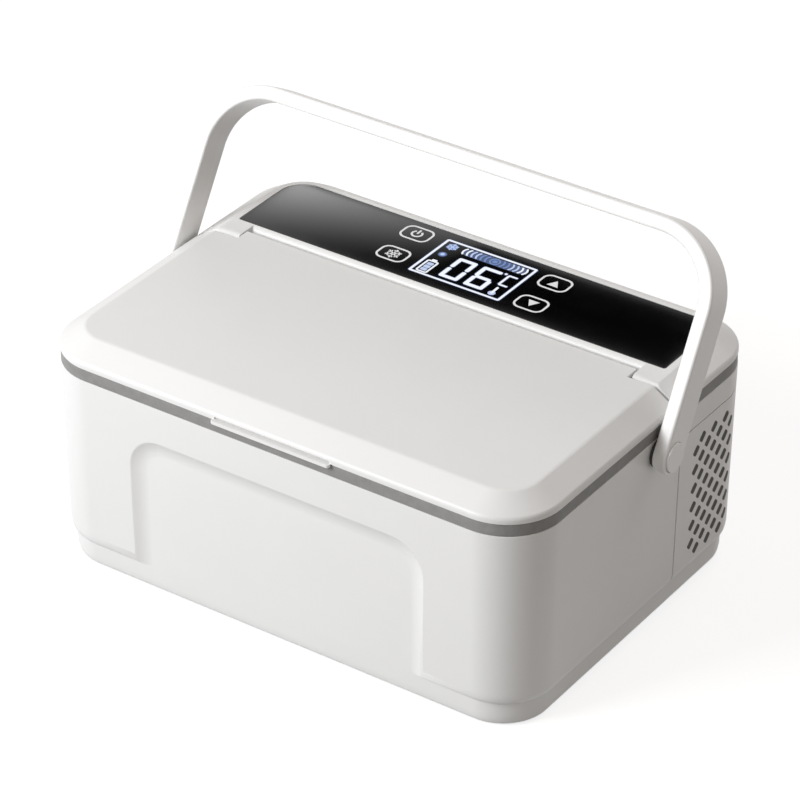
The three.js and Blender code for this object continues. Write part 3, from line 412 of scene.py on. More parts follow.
def recess_tool():
    """The arch, its inner edge eased into the floor by rings that each go in a little less."""
    front = shell_low.y
    low = (-recess_half, front - clear, shell_low.z - recess_below)
    high = (recess_half, front, recess_top)
    bm = block(low, high)
    upper = [e for e in bm.edges if at_level(e, recess_top) and reach(e, 1) > level_slack]
    bevel(bm, upper, recess_corner, corner_steps)
    floor_face = [f for f in bm.faces if f.normal.y > facing]
    gone, sunk = 0, 0
    for row in range(1, recess_rows + 1):
        share = row / recess_rows
        step = recess_slope * share
        depth = recess_depth * (1 - (1 - share) ** 2)
        bmesh.ops.inset_region(bm, faces=floor_face, thickness=step - gone, depth=depth - sunk,
                               use_even_offset=True)
        gone, sunk = step, depth
    swing(bm, recess_draft, "X", (0, front, shell_high.z))
    return bm


def cover_zone(gap):
    return zone(y=(cover_front + gap, beyond), z=(-beyond, cover_top - gap))


def taken(piece):
    """The mesh of a helper object, which is deleted."""
    bm = bmesh.new()
    bm.from_mesh(piece.data)
    drop(piece)
    return bm


def body_room():
    """The room inside the body's wall. Its front stands back behind the recess."""
    low, high = shell_low + Vector((wall, wall, -clear)), shell_high - Vector((wall, wall, -clear))
    bm = block(low, high, corner_radius - wall)
    slice_rows(bm, (shell_low.z, shell_low.z + skirt_rise))
    draw_in(bm, low, high, corner_radius - wall, lambda height: (
        max(shell_high.z - height, 0) * tan(draft)
        + skirt_inset * min(max(1 - (height - shell_low.z) / skirt_rise, 0), 1)))
    inside = to_object("inside", bm)
    floor_back = shell_low.y + recess_depth + wall + (shell_high.z - shell_low.z) * tan(recess_draft)
    carve(inside, zone(about(0, recess_half + wall), (-beyond, floor_back), (-beyond, recess_top + wall)))
    return taken(inside)


outer_shell = to_object("body_shell", body_form())
carve(outer_shell, recess_tool())
carve(outer_shell, body_room())
rear_cover = put("rear_housing_cover", outer_shell.data.copy())
carve(outer_shell, cover_zone(0))


def at_recess(edge):
    return all(abs(v.co.x) < recess_half + edge_round and v.co.z < recess_top + edge_round
               and v.co.y < shell_low.y + clear for v in edge.verts)


soften(outer_shell, kept=at_recess)
dress(outer_shell, case_plastic, "case", "case_plastic", "outer_shell")


# Rear cover
# A separate cover of the same plastic closes the housing behind the chamber. Slanted slots with dark
# dust mesh behind them let air in at both sides and out at the back, where the socket has its hole.
# The mesh's dark grey also stands for the shade inside the slots: painted shade.
slot_length, slot_width, slot_corner, slot_tilt, slot_pitch = 0.0052, 0.0038, 0.0010, radians(45), 0.01
mesh_depth, mesh_thickness, mesh_margin = 0.00015, 0.0005, 0.004
# The dust mesh's dark grey is also painted shade, the look of shade inside the slots.
mesh_and_shade_grey, mesh_rough, mesh_cells, mesh_low = (0.085, 0.080, 0.072), 0.8, 1800, 0.7
slot_steps, cover_edge = 4, 0.0003
field_inside = 0.05
side_columns, side_rows, side_first, side_top = 7, 6, 0.04475, 0.0762
back_columns, back_rows, back_first, back_top = 9, 4, -0.02, 0.072
socket_low, socket_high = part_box("power_socket")
socket_hole, socket_hole_depth = 0.0059, 0.013

carve(rear_cover, cover_zone(seam), "INTERSECT")
soften(rear_cover, width=cover_edge)


def slot_field(columns, rows, first, top, near, far):
    """Slanted slots as bars along X, the second columns half a pitch higher."""
    half_length, half_width = slot_length / 2, slot_width / 2
    bm = block((-half_length, -half_width, near), (half_length, half_width, far), slot_corner,
               steps=slot_steps)
    lay = Matrix(((0, 0, 1), (1, 0, 0), (0, 1, 0)))
    transform(bm, (Matrix.Rotation(slot_tilt, 3, "X") @ lay).to_4x4())
    pattern = bm.verts[:] + bm.edges[:] + bm.faces[:]
    for column in range(columns):
        raised = column % 2
        for row in range(rows + raised):
            copy = bmesh.ops.duplicate(bm, geom=pattern)["geom"]
            height = top + (raised / 2 - row) * slot_pitch
            shift(bm, (0, first + column * slot_pitch / 2, height), only(bmesh.types.BMVert, copy))
    bmesh.ops.delete(bm, geom=pattern, context="VERTS")
    return bm


carve(rear_cover, slot_field(side_columns, side_rows, side_first, side_top, -beyond, beyond))
outlet = slot_field(back_columns, back_rows, back_first, back_top, field_inside, beyond)
swap_x_and_y = Matrix(((0, 1, 0, 0), (1, 0, 0, 0), (0, 0, 1, 0), (0, 0, 0, 1)))
transform(outlet, swap_x_and_y)
carve(rear_cover, outlet)
socket_middle = (socket_low + socket_high) / 2
carve(rear_cover, zone(about(socket_middle.x, socket_hole), (shell_high.y - socket_hole_depth, beyond),
                       about(socket_middle.z, socket_hole)))
dress(rear_cover, case_plastic, "case", "case_plastic", "rear_cover")

# Painted shade: the dark mesh fills the slots with the look of shade inside them, as well as being a dust
# mesh.
dust_mesh_and_shade = Finish("dust_mesh_and_shade", mesh_and_shade_grey, roughness=mesh_rough)
weave = dust_mesh_and_shade.node("ShaderNodeTexChecker", None, {
    "Vector": dust_mesh_and_shade.own_points(), "Scale": mesh_cells}, output=1)
dust_mesh_and_shade.mottle(weave, mesh_and_shade_grey, mesh_low)


def slot_shade_sheet(name, columns, rows, first, top, turn):
    """A thin sheet that follows the wall behind a field of slots. Its dark grey is also painted shade that
    fills the slots.
    """
    last = first + (columns - 1) * slot_pitch / 2
    bottom = top - (rows - 1 / 2) * slot_pitch
    field = zone((field_inside, beyond), (first - mesh_margin, last + mesh_margin),
                 (bottom - mesh_margin, top + slot_pitch / 2 + mesh_margin))
    transform(field, turn)
    sheet = to_object(name, body_form(mesh_depth))
    carve(sheet, field, "INTERSECT")
    carve(sheet, body_form(mesh_depth + mesh_thickness))
    dress(sheet, dust_mesh_and_shade.material, "case", "black_plastic")


for name, turn in (("right", Matrix.Identity(4)), ("left", Matrix.Scale(-1, 4, (1, 0, 0)))):
    slot_shade_sheet(f"dust_mesh_and_shade_{name}", side_columns, side_rows, side_first, side_top, turn)
slot_shade_sheet("dust_mesh_and_shade_rear", back_columns, back_rows, back_first, back_top, Matrix.Rotation(pi / 2, 4, "Z"))


# Base
# A separate tray closes the body from below. It stands in a little from the skirt and its sides
# curve in at the foot. Four rubber feet and four long screws up into the body sit in its floor.
tray_low, tray_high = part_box("base_tray")
tray_radius = corner_radius - (shell_high.x - tray_high.x)
tray_lean = 0.0004
tray_rise, tray_inset, tray_rows = 0.005, 0.0012, 6
foot_pocket, screw_pocket, pocket_gap = 0.0014, 0.005, 0.0001
foot_radius, foot_edge = 0.008, 0.0006
screw_head_radius = 0.0033
rod_steps, foot_edge_steps = 48, 3
corner_numbers = range(1, 5)


def rod(radius, start, end, steps=rod_steps):
    """A round bar between two points."""
    start, end = Vector(start), Vector(end)
    bm = bmesh.new()
    bmesh.ops.create_cone(bm, cap_ends=True, segments=steps, radius1=radius, radius2=radius,
                          depth=(end - start).length)
    turn = Vector((0, 0, 1)).rotation_difference(end - start).to_matrix().to_4x4()
    transform(bm, Matrix.Translation((start + end) / 2) @ turn)
    return bm


def node_rod(node, radius, below=0, above=0):
    """An upright bar through the middle of a node's box, and past its ends by two lengths."""
    low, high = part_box(node)
    middle = (low + high) / 2
    return rod(radius, (middle.x, middle.y, low.z - below), (middle.x, middle.y, high.z + above))


def round_level(bm, height, size, steps):
    """Rounds the edges that run round a mesh at one height."""
    bevel(bm, [e for e in bm.edges if at_level(e, height)], size, steps)


def tray_form(inset, low, high):
    tall, radius = high - low, tray_radius - inset
    corners = (tray_low.x + inset, tray_low.y + inset, low), (tray_high.x - inset, tray_high.y - inset, high)
    bm = block(*corners, radius)
    slice_rows(bm, round_rows(low, tray_rise, tray_rows))
    draw_in(bm, *corners, radius, lambda height: (
        tray_lean * (1 - (height - low) / tall) + round_inset(height, low, tray_rise, tray_inset)))
    return bm


base_tray = to_object("base", tray_form(0, tray_low.z, tray_high.z))
carve(base_tray, tray_form(wall, tray_low.z + wall, tray_high.z + clear))
for number in corner_numbers:
    for node, radius, depth in ((f"foot_{number}", foot_radius, foot_pocket),
                                (f"base_screw_{number}", screw_head_radius, screw_pocket)):
        middle = sum(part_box(node), Vector()) / 2
        carve(base_tray, rod(radius + pocket_gap, (middle.x, middle.y, tray_low.z - clear),
                             (middle.x, middle.y, tray_low.z + depth)))
dress(base_tray, case_plastic, "case", "case_plastic", "base_tray")

rubber_grey, foot_rough = (0.060, 0.055, 0.050), 0.75
dust_scale, dust_rough, dust_low, dust_high = 220, 0.6, 0.8, 1.25
scuff_scale, scuff_spread = 90, 0.12
skin_scale, skin_depth, usual_gloss = 2600, 0.00002, 0.5


def rubber(name, colour, rough, gloss=usual_gloss):
    """Moulded rubber with a fine dull skin."""
    finish = Finish(name, colour, roughness=rough)
    finish.shader.inputs["Specular IOR Level"].default_value = gloss
    finish.mottle(finish.noise(dust_scale, 4, dust_rough), colour, dust_low, dust_high)
    finish.uneven_gloss(finish.noise(scuff_scale), rough, scuff_spread)
    finish.bump(finish.noise(skin_scale, 3), skin_depth)
    return finish.material


foot_rubber = rubber("foot_rubber", rubber_grey, foot_rough)
for number in corner_numbers:
    bm = node_rod(f"foot_{number}", foot_radius)
    round_level(bm, 0, foot_edge, foot_edge_steps)
    foot = to_object(f"rubber_foot_{number}", bm)
    dress(foot, foot_rubber, "case", "foot_rubber", f"foot_{number}")


# Seal band
# A dark rubber band lies in the joint all round the case, between the body and the lid with its frame.
band_low, band_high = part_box("seal_band")
band_inset = shell_high.x - band_high.x
band_width, band_edge = 0.004, 0.0004
band_colour, band_rough, band_gloss = (0.27, 0.265, 0.26), 0.5, 0.15

band_rubber = rubber("band_rubber", band_colour, band_rough, band_gloss)


def ring_form(inset, low, high):
    return block((shell_low.x + inset, shell_low.y + inset, low),
                 (shell_high.x - inset, shell_high.y - inset, high), corner_radius - inset)


seal_band = to_object("band", ring_form(band_inset, band_low.z, band_high.z))
carve(seal_band, ring_form(band_inset + band_width, band_low.z - clear, band_high.z + clear))
soften(seal_band, width=band_edge)
dress(seal_band, band_rubber, "case", "band_rubber", "seal_band")


# Lid shell
# The lid's outside is a white moulding with a wide chamfer. A tongue at its back turns between the
# hinge ears, and a pull lip with a pocket above it for the finger stands out from its front edge.
lid_low, lid_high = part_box("lid_shell")
case_top, tongue_rear = lid_high.z, lid_high.y
lip_front, lip_low = lid_low.y, lid_low.z
rim_rise, lip_rise = 0.003, 0.0007
rim_top, lip_top = band_high.z + rim_rise, band_high.z + lip_rise
chamfer_run = 0.0114
rim_curve, flat_curve, curve_steps = 0.0012, 0.0009, 5
notch_rear, tongue_half, hinge_block = 0.02295, 0.1057, 0.008
top_edge, lip_edge, plane_gap = 0.0004, 0.00025, 0.0001
lip_half, lip_corner, lip_steps, lip_gap = 0.0315, 0.0015, 4, 0.0003
pocket_top, pocket_depth, pocket_end = rim_top - 0.0013, 0.0015, 0.001


def top_form(inset=0):
    """The case top with its chamfer, drawn in by an even wall."""
    slope = atan2(case_top - rim_top, chamfer_run)
    rim = rim_top - inset * (1 / cos(slope) - tan(slope))
    low = band_high.z - (clear if inset else 0)
    bm = ring_form(inset, low, rim)
    lid_face = [f for f in bm.faces if f.normal.z > facing]
    run = chamfer_run + inset * tan(slope / 2) - inset
    bmesh.ops.inset_region(bm, faces=lid_face, thickness=run, depth=case_top - inset - rim,
                           use_even_offset=True)
    if not inset:
        round_level(bm, rim, rim_curve, curve_steps)
        round_level(bm, case_top, flat_curve, curve_steps)
    return bm


def shared(first, second):
    piece = to_object("shared", first)
    carve(piece, second, "INTERSECT")
    return taken(piece)


lid_shell = to_object("lid_cover", top_form())
carve(lid_shell, zone(y=(tongue_rear, beyond)))
for side in (-1, 1):
    carve(lid_shell, zone(sorted((side * tongue_half, side * beyond)), (notch_rear, beyond)))
carve(lid_shell, shared(top_form(wall), zone(y=(-beyond, notch_rear - wall))))
carve(lid_shell, shared(top_form(wall), zone(about(0, tongue_half - hinge_block), (0, tongue_rear - wall))))
soften(lid_shell, width=top_edge)
carve(lid_shell, zone(about(0, lip_half - pocket_end), (shell_low.y - clear, shell_low.y + pocket_depth),
                      (lip_top - plane_gap, pocket_top)))
pull_lip = to_object("lid_pull_lip", block(
    (-lip_half, lip_front, lip_low), (lip_half, shell_low.y + wall, lip_top), 0, lip_corner, lip_steps))
carve(pull_lip, zone(y=(shell_low.y - lip_gap, beyond), z=(-beyond, band_high.z)))
soften(pull_lip, width=lip_edge)
dress(lid_shell, case_plastic, "lid", "case_plastic", "lid_shell")
dress(pull_lip, case_plastic, "lid", "case_plastic")


# Rear top frame
# The fixed part of the top behind the lid: two hinge ears, the rounded ridge behind the tongue, the
# trough under the hinge line and the pocket that the glass panel is glued into.
ear_gap, ridge_gap = 0.0013, 0.0035
ear_front, ridge_front = notch_rear + ear_gap, tongue_rear + ridge_gap
ear_offset = 0.1065
front_round, front_steps = 0.0035, 9
glass_low, glass_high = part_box("control_panel_glass")
glass_gap = 0.0003
glass_radius = 0.013
glass_front_radius = 0.001
trough_low, trough_floor, trough_half, trough_lap = 0.1036, 0.002, 0.1258, 0.0003
frame_ceiling = 0.0036


def front_tool(front, half):
    """What is in front of an ear or of the ridge, whose upper front edge is rounded."""
    body = zone(about(0, half + clear), (front, beyond), (0, case_top))
    upper_edge = [e for e in body.edges if all(v.co.y < front + clear and v.co.z > 0 for v in e.verts)]
    bevel(body, upper_edge, front_round, front_steps)
    piece = to_object("front", zone(about(0, half), (-beyond, front + front_round), (0, case_top + clear)))
    carve(piece, body)
    return taken(piece)


rear_frame = to_object("rear_top_housing", top_form())
carve(rear_frame, front_tool(ear_front, beyond))
carve(rear_frame, front_tool(ridge_front, ear_offset))
carve(rear_frame, shared(top_form(wall), zone(y=(ridge_front + wall, beyond),
                                              z=(-beyond, case_top - frame_ceiling))))
soften(rear_frame, width=top_edge)
carve(rear_frame, block(
    (glass_low.x - glass_gap, glass_low.y - glass_gap, glass_low.z - glass_gap),
    (glass_high.x + glass_gap, glass_high.y + glass_gap, case_top + clear),
    glass_radius + glass_gap, glass_front_radius + glass_gap))
trough = to_object("hinge_trough", zone(about(0, trough_half), (notch_rear, ridge_front + wall),
                                        (trough_low, trough_low + trough_floor)))
carve(trough, zone(about(0, trough_half), (ridge_front, ridge_front + wall),
                   (trough_low, band_high.z + trough_lap)), "UNION")
dress(rear_frame, case_plastic, "case", "case_plastic", "rear_top_frame")
dress(trough, case_plastic, "case", "case_plastic")


# Control panel glass
# A flush sheet of black glass with four touch keys printed on it in white. A softbox that only
# gloss sees is spread over the room behind, as a studio lamp shows in such a sheet.
panel_black = (0.0012, 0.0012, 0.0014)
smear_scale, smear_rough, smear_stretch = 45, 0.6, (1, 3, 1)
glass_rough, glass_spread, glass_edge = 0.04, 0.02, 0.00025
softbox_height, softbox_thickness, softbox_most, softbox_falloff = 0.6, 0.002, 0.6, 2.2
softbox_base, softbox_by_x, softbox_by_y, softbox_power = -0.3947, -3.7255, 7.451, 12
softbox_edge, softbox_slant, softbox_rear = -0.0108, 0.31, 0.08025

glass = Finish("panel_glass", panel_black)
glass.uneven_gloss(glass.noise(smear_scale, 3, smear_rough, smear_stretch), glass_rough, glass_spread)
glass_sheet = to_object("panel_glass_sheet", block(glass_low, glass_high, glass_radius, glass_front_radius))
soften(glass_sheet, width=glass_edge)
dress(glass_sheet, glass.material, "case", "panel_glass", "control_panel_glass")

softbox = Finish("softbox_cloth")
eye = camera.matrix_world.translation
shrink = (eye.z - glass_high.z) / (eye.z - glass_high.z + softbox_height)
on_glass = softbox.node("ShaderNodeMapping", None, {
    "Vector": softbox.own_points(), "Location": tuple(eye * (1 - shrink)), "Scale": (shrink, shrink, shrink)})
across, along = (softbox.node("ShaderNodeSeparateXYZ", None, {"Vector": on_glass}, output=axis)
                 for axis in (0, 1))
level_shown = across.math("MAXIMUM", across * softbox_by_x + along * softbox_by_y + softbox_base, 0)
level_shown = across.math("MINIMUM", level_shown, softbox_most)
lit_part = ((along - softbox_rear) * softbox_slant + softbox_edge).above(across)
cloth = softbox.node("ShaderNodeEmission", None, {
    "Strength": level_shown.math("POWER", level_shown, softbox_falloff) * lit_part * softbox_power})
softbox.tree.links.new(cloth.socket, softbox.tree.nodes["Material Output"].inputs["Surface"])
near, far = (eye + (corner - eye) / shrink for corner in (glass_low, glass_high))
near.z = glass_high.z + softbox_height
far.z = near.z + softbox_thickness
softbox_sheet = to_object("softbox", block(near, far))
softbox_sheet.data.materials.append(softbox.material)
softbox_sheet.visible_camera = softbox_sheet.visible_diffuse = softbox_sheet.visible_shadow = False


# Printing on the glass
# White ink shows the four keys: a power sign, a snowflake, and arrows up and down, each in a
# frame with round corners. It is a film of ink that stands a hair above the glass, with a faint
# glow painted into it to make the print read brighter.
ink_thickness = 0.00006
ink_white = (0.78, 0.78, 0.80)
key_size, key_radius, key_line = (0.0157, 0.0121), 0.0042, 0.00105
power_key, snow_key = Vector((-0.0397, 0.0733)), Vector((-0.0384, 0.0521))
up_key, down_key = Vector((0.0370, 0.0718)), Vector((0.0377, 0.0508))
power_radius, power_line, power_gap = 0.0025, 0.0010, radians(70)
power_stem_low, power_stem_high = Vector((0, 0.0005)), Vector((0, 0.00325))
flake_arms, flake_radius, flake_line = 6, 0.0036, 0.0008
barb_place, barb_length, barb_line, barb_turn = 0.55, 0.36, 0.8, radians(50)
arrow_half, arrow_height, arrow_shift = 0.0029, 0.0050, 0.0010
film_steps, bow_steps, blunt_ends = 6, 24, 0.49
# The ink's faint glow is painted light that makes the print read brighter.
ink_rough, ink_painted_glow, ink_scale, ink_low = 0.45, 0.12, 900, 0.93


def gather(bm, *more):
    """Puts other meshes into one."""
    for other in more:
        mesh = bpy.data.meshes.new("more")
        other.to_mesh(mesh)
        other.free()
        bm.from_mesh(mesh)
        bpy.data.meshes.remove(mesh)
    return bm


def film(low, high, radius=0.0, lift=0.0):
    """A patch of ink or light on the glass, with round corners."""
    bottom, top = about(glass_high.z, ink_thickness)
    return block((*low, bottom), (*high, top + lift), radius, steps=film_steps)


def frame_line(centre, size, radius, line, lift=0.0):
    """A line that runs round an oblong."""
    half = Vector(size) / 2
    inner = half - Vector((line, line))
    piece = to_object("line", film(centre - half, centre + half, radius, lift))
    carve(piece, block((*(centre - inner), 0), (*(centre + inner), beyond), max(radius - line, 0),
                       steps=film_steps))
    return taken(piece)


def stroke(start, end, line, lift=0.0):
    """A straight line of ink with round ends, from centre to centre of these."""
    start, end = Vector(start), Vector(end)
    length = (end - start).length
    bm = film((-line / 2, -line / 2), (length + line / 2, line / 2), line * blunt_ends, lift)
    turn = Matrix.Rotation(atan2(end.y - start.y, end.x - start.x), 4, "Z")
    transform(bm, Matrix.Translation((*start, 0)) @ turn)
    return bm


def bow(centre, radius, line, from_angle, to_angle, lift=0.0, steps=bow_steps):
    """A curved line of ink about a centre."""
    bm = bmesh.new()
    bmesh.ops.create_grid(bm, x_segments=1, y_segments=1, size=1 / 2)
    resize(bm, (line, 2 * ink_thickness + lift, 1))
    swing(bm, pi / 2, "X")
    shift(bm, (radius, 0, glass_high.z + lift / 2))
    swing(bm, from_angle, "Z")
    bmesh.ops.spin(bm, geom=bm.faces[:], axis=(0, 0, 1), angle=to_angle - from_angle, steps=steps)
    shift(bm, (*centre, 0))
    return bm


def flake(centre, radius, line, lift=0.0):
    """A snowflake of arms, each with a short barb on both sides."""
    bm = bmesh.new()
    for arm in range(flake_arms):
        out = Matrix.Rotation(2 * pi * arm / flake_arms, 2) @ Vector((0, radius))
        gather(bm, stroke((0, 0), out, line, lift))
        for side in (-1, 1):
            root = out * barb_place
            end = root + Matrix.Rotation(side * barb_turn, 2) @ out * barb_length
            gather(bm, stroke(root, end, line * barb_line, lift))
    shift(bm, (*centre, 0))
    return bm


def arrow(key, way):
    """A triangle on a key that points up, where way is 1, or down, where it is -1."""
    bm = bmesh.new()
    bmesh.ops.create_cone(bm, cap_ends=True, segments=3, radius1=1, radius2=1, depth=2 * ink_thickness)
    resize(bm, (arrow_half / sin(pi / 3), arrow_height / (1 + cos(pi / 3)), 1))
    swing(bm, pi * (1 - way) / 2, "Z")
    shift(bm, (key.x, key.y - way * arrow_shift, glass_high.z))
    return bm


# The ink emits a little of its own white: painted light, not a lamp.
ink = Finish("key_ink_painted_glow", ink_white, roughness=ink_rough, emission_strength=ink_painted_glow)
ink.shader.inputs["Emission Color"].default_value = (*ink_white, 1)
ink.mottle(ink.noise(ink_scale), ink_white, ink_low)
key_frames = (frame_line(key, key_size, key_radius, key_line)
              for key in (power_key, snow_key, up_key, down_key))
key_print = to_object("key_printing", gather(
    bmesh.new(), *key_frames,
    bow(power_key, power_radius, power_line, *about(3 * pi / 2, pi - power_gap / 2)),
    stroke(power_key + power_stem_low, power_key + power_stem_high, power_line),
    flake(snow_key, flake_radius, flake_line), arrow(up_key, 1), arrow(down_key, -1)))
dress(key_print, ink.material, "case", "panel_glass")


# Lit display
# The figures of the display under the glass: a snowflake, a sun and a battery at the left, waves
# on both sides of a ring above, and the chamber's temperature in degrees with a thermometer.
display_centre, display_size = Vector((-0.0004, 0.0609)), Vector((0.0494, 0.0334))
display_line, display_corner = 0.0012, 0.0010
digit_line, small_line, end_gap = 0.0021, 0.0011, 0.0014
digit_low, digit_mid, digit_high = 0.0478, 0.0570, 0.0664
nought_sides, six_sides = (-0.0110, -0.0009), (0.0024, 0.0127)
degree_strokes = (((0.0165, 0.0656), (0.0203, 0.0656)), ((0.0163, 0.0652), (0.0163, 0.0571)),
                  ((0.0166, 0.0567), (0.0203, 0.0567)))
degree_dot, degree_dot_size = ((0.0142, 0.0661), (0.0143, 0.0660)), 1.2
halo, halo_lift = 0.0007, 0.00003
waves_start, waves_end, waves_height = -0.0132, 0.0210, 0.0725
wave_pitch, wave_radius, wave_half_angle, wave_line, wave_steps = 0.00248, 0.0042, radians(40), 0.0009, 10
glow_half, glow_end, glow_corner = 0.0031, 0.0004, 0.0026
ring_centre, ring_radius, ring_line, ring_dot, ring_steps = (0.0040, 0.0724), 0.0024, 0.0008, 0.0013, 32
battery, battery_size = Vector((-0.0193, 0.0515)), (0.0062, 0.0112)
battery_corner, battery_line = 0.0012, 0.0009
tip_low, tip_high, tip_corner = Vector((-0.0014, 0.0056)), Vector((0.0014, 0.0069)), 0.0005
charge_levels, charge_half, charge_height, charge_corner = (-0.0040, -0.0013, 0.0014), 0.0016, 0.0023, 0.0004
bulb, bulb_radius, stem_top, stem_line = (0.0179, 0.0484), 0.0018, (0.0177, 0.0537), 0.0012
sun, sun_radius, sun_rim, sun_glow = (-0.0196, 0.0645), 0.0010, 0.0017, 0.0022
frost, frost_radius, frost_line, frost_disc = (-0.0194, 0.0725), 0.0028, 0.0005, 0.0027
dot_steps, light_rough, light_scale, light_low = 24, 0.4, 600, 0.88
white_light, soft_light, blue_light = (0.90, 0.94, 1.0), (0.50, 0.60, 0.86), (0.12, 0.22, 0.50)
deep_light = (0.025, 0.055, 0.17)


def light(name, colour):
    """Light of a liquid crystal display, a little uneven."""
    finish = Finish(name, (0, 0, 0), roughness=light_rough, emission_strength=1)
    finish.mottle(finish.noise(light_scale), colour, light_low, socket="Emission Color")
    return finish.material


def digit(left, right, strokes, line, lift):
    """A figure of seven bars. A small gap at mid-height parts the upright ones."""
    half = digit_line / 2
    left, right = left + half, right - half
    low, high = digit_low + half, digit_high - half
    places = {
        "top": ((left, high), (right, high)), "middle": ((left + half, digit_mid), (right - half, digit_mid)),
        "bottom": ((left, low), (right, low)),
        "upper_left": ((left, digit_mid + end_gap), (left, high)),
        "upper_right": ((right, digit_mid + end_gap), (right, high)),
        "lower_left": ((left, low), (left, digit_mid - end_gap)),
        "lower_right": ((right, low), (right, digit_mid - end_gap))}
    return [stroke(*places[name], line, lift) for name in strokes]


def figures(grow=0.0, lift=0.0):
    """The display's frame, its two figures and the sign for degrees."""
    size = display_size + Vector((2 * grow, 2 * grow))
    nought = ("top", "bottom", "upper_left", "upper_right", "lower_left", "lower_right")
    six = ("top", "middle", "bottom", "upper_left", "lower_left", "lower_right")
    thin = small_line + 2 * grow
    return [frame_line(display_centre, size, display_corner + grow, display_line + 2 * grow, lift),
            *digit(*nought_sides, nought, digit_line + 2 * grow, lift),
            *digit(*six_sides, six, digit_line + 2 * grow, lift),
            *(stroke(start, end, thin, lift) for start, end in degree_strokes),
            stroke(*degree_dot, thin * degree_dot_size, lift)]


def waves(*numbers):
    """Waves at both sides of the ring, counted from the outer ends of their rows."""
    inward = [wave_radius + number * wave_pitch for number in numbers]
    places = [(waves_start + x, pi) for x in inward] + [(waves_end - x, 0) for x in inward]
    return [bow((x, waves_height), wave_radius, wave_line, *about(straight, wave_half_angle),
                halo_lift, wave_steps) for x, straight in places]


def dot(centre, radius, lift=0.0):
    bottom, top = about(glass_high.z, ink_thickness)
    return rod(radius, (*centre, bottom), (*centre, top + lift), dot_steps)


display_parts = {
    "display_white": (white_light, [
        *figures(), *waves(0, 1), frame_line(battery, battery_size, battery_corner, battery_line, halo_lift),
        stroke(stem_top, bulb, stem_line, halo_lift),
        film(battery + tip_low, battery + tip_high, tip_corner, halo_lift)]),
    "display_pale": (soft_light, [
        *waves(2, 3), dot(sun, sun_radius, halo_lift), dot(bulb, bulb_radius),
        *(film(battery + Vector((-charge_half, low)), battery + Vector((charge_half, low + charge_height)),
               charge_corner) for low in charge_levels),
        flake(frost, frost_radius, frost_line, halo_lift)]),
    "display_blue": (blue_light, [
        *waves(4, 5), dot(sun, sun_rim), dot(frost, frost_disc), dot(ring_centre, ring_dot, halo_lift),
        bow(ring_centre, ring_radius, ring_line, 0, 2 * pi, halo_lift, ring_steps)]),
    "display_glow": (deep_light, [
        *figures(halo / 2, -halo_lift), dot(sun, sun_glow, -halo_lift),
        film((waves_start + glow_end, waves_height - glow_half),
             (waves_end - glow_end, waves_height + glow_half), glow_corner, -halo_lift)])}
for name, (colour, shapes) in display_parts.items():
    lit = to_object(name, gather(bmesh.new(), *shapes))
    dress(lit, light(name, colour), "case", "panel_glass")


# Handle
# One bent bail in gloss-white ABS. Its arms swing on shoulder screws in the case's sides, and a
# round cap closes each screw's hole.
pivot = Vector(next(j for j in frame["joints"] if j["name"] == "handle_pivot")["pos_m"])
handle_tilt = radians(30)
cap_inner, cap_outer = (corner.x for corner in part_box("pivot_cap_right"))
arm_offset = 0.1386
arm_thickness, arm_taper = 0.00675, 0.0008
handle_depth, handle_rise, handle_corner = 0.0166, 0.0983, 0.0345
handle_edge, edge_steps, bend_steps, foot_steps, foot_share = 0.0012, 3, 20, 14, 0.999
cap_radius, cap_gap, cap_sink, cap_edge, cap_steps = 0.0069, 0.0003, 0.0012, 0.0004, 64
handle_white, handle_rough, handle_grain = (0.90, 0.895, 0.885), 0.34, 0.000002

handle_plastic = moulded("handle_plastic", handle_white, handle_rough, handle_grain)


def push(bm, faces, offset):
    """Extrudes a face by an offset and gives the new end."""
    made = bmesh.ops.extrude_face_region(bm, geom=faces)["geom"]
    shift(bm, offset, only(bmesh.types.BMVert, made))
    return only(bmesh.types.BMFace, made)


def bend(bm, faces, centre):
    """Spins the end face a quarter turn inwards."""
    made = bmesh.ops.spin(bm, geom=faces, cent=centre, axis=(0, -1, 0), angle=pi / 2, steps=bend_steps,
                          use_duplicate=False)["geom_last"]
    return only(bmesh.types.BMFace, made)


def bail():
    foot, shoulder = -handle_depth / 2, handle_rise - handle_corner
    outer = arm_offset - arm_taper
    turn = outer - handle_corner
    bm = bmesh.new()
    bmesh.ops.create_grid(bm, x_segments=1, y_segments=1, size=1 / 2)
    resize(bm, (arm_thickness, handle_depth, 1))
    shift(bm, (arm_offset - arm_thickness / 2, 0, foot))
    end = push(bm, bm.faces[:], (-arm_taper, 0, shoulder - foot))
    end = bend(bm, end, (turn, 0, shoulder))
    end = push(bm, end, (-2 * turn, 0, 0))
    end = bend(bm, end, (-turn, 0, shoulder))
    push(bm, end, (-arm_taper, 0, foot - shoulder))
    bmesh.ops.remove_doubles(bm, verts=bm.verts, dist=weld)
    inside = [f for f in bm.faces if all(len(e.link_faces) == 3 for e in f.edges)]
    bmesh.ops.delete(bm, geom=inside, context="FACES_ONLY")
    bmesh.ops.recalc_face_normals(bm, faces=bm.faces)
    low_edges = [e for e in bm.edges if at_level(e, foot) and reach(e, 1) < level_slack]
    bevel(bm, low_edges, handle_depth / 2 * foot_share, foot_steps)
    return bm


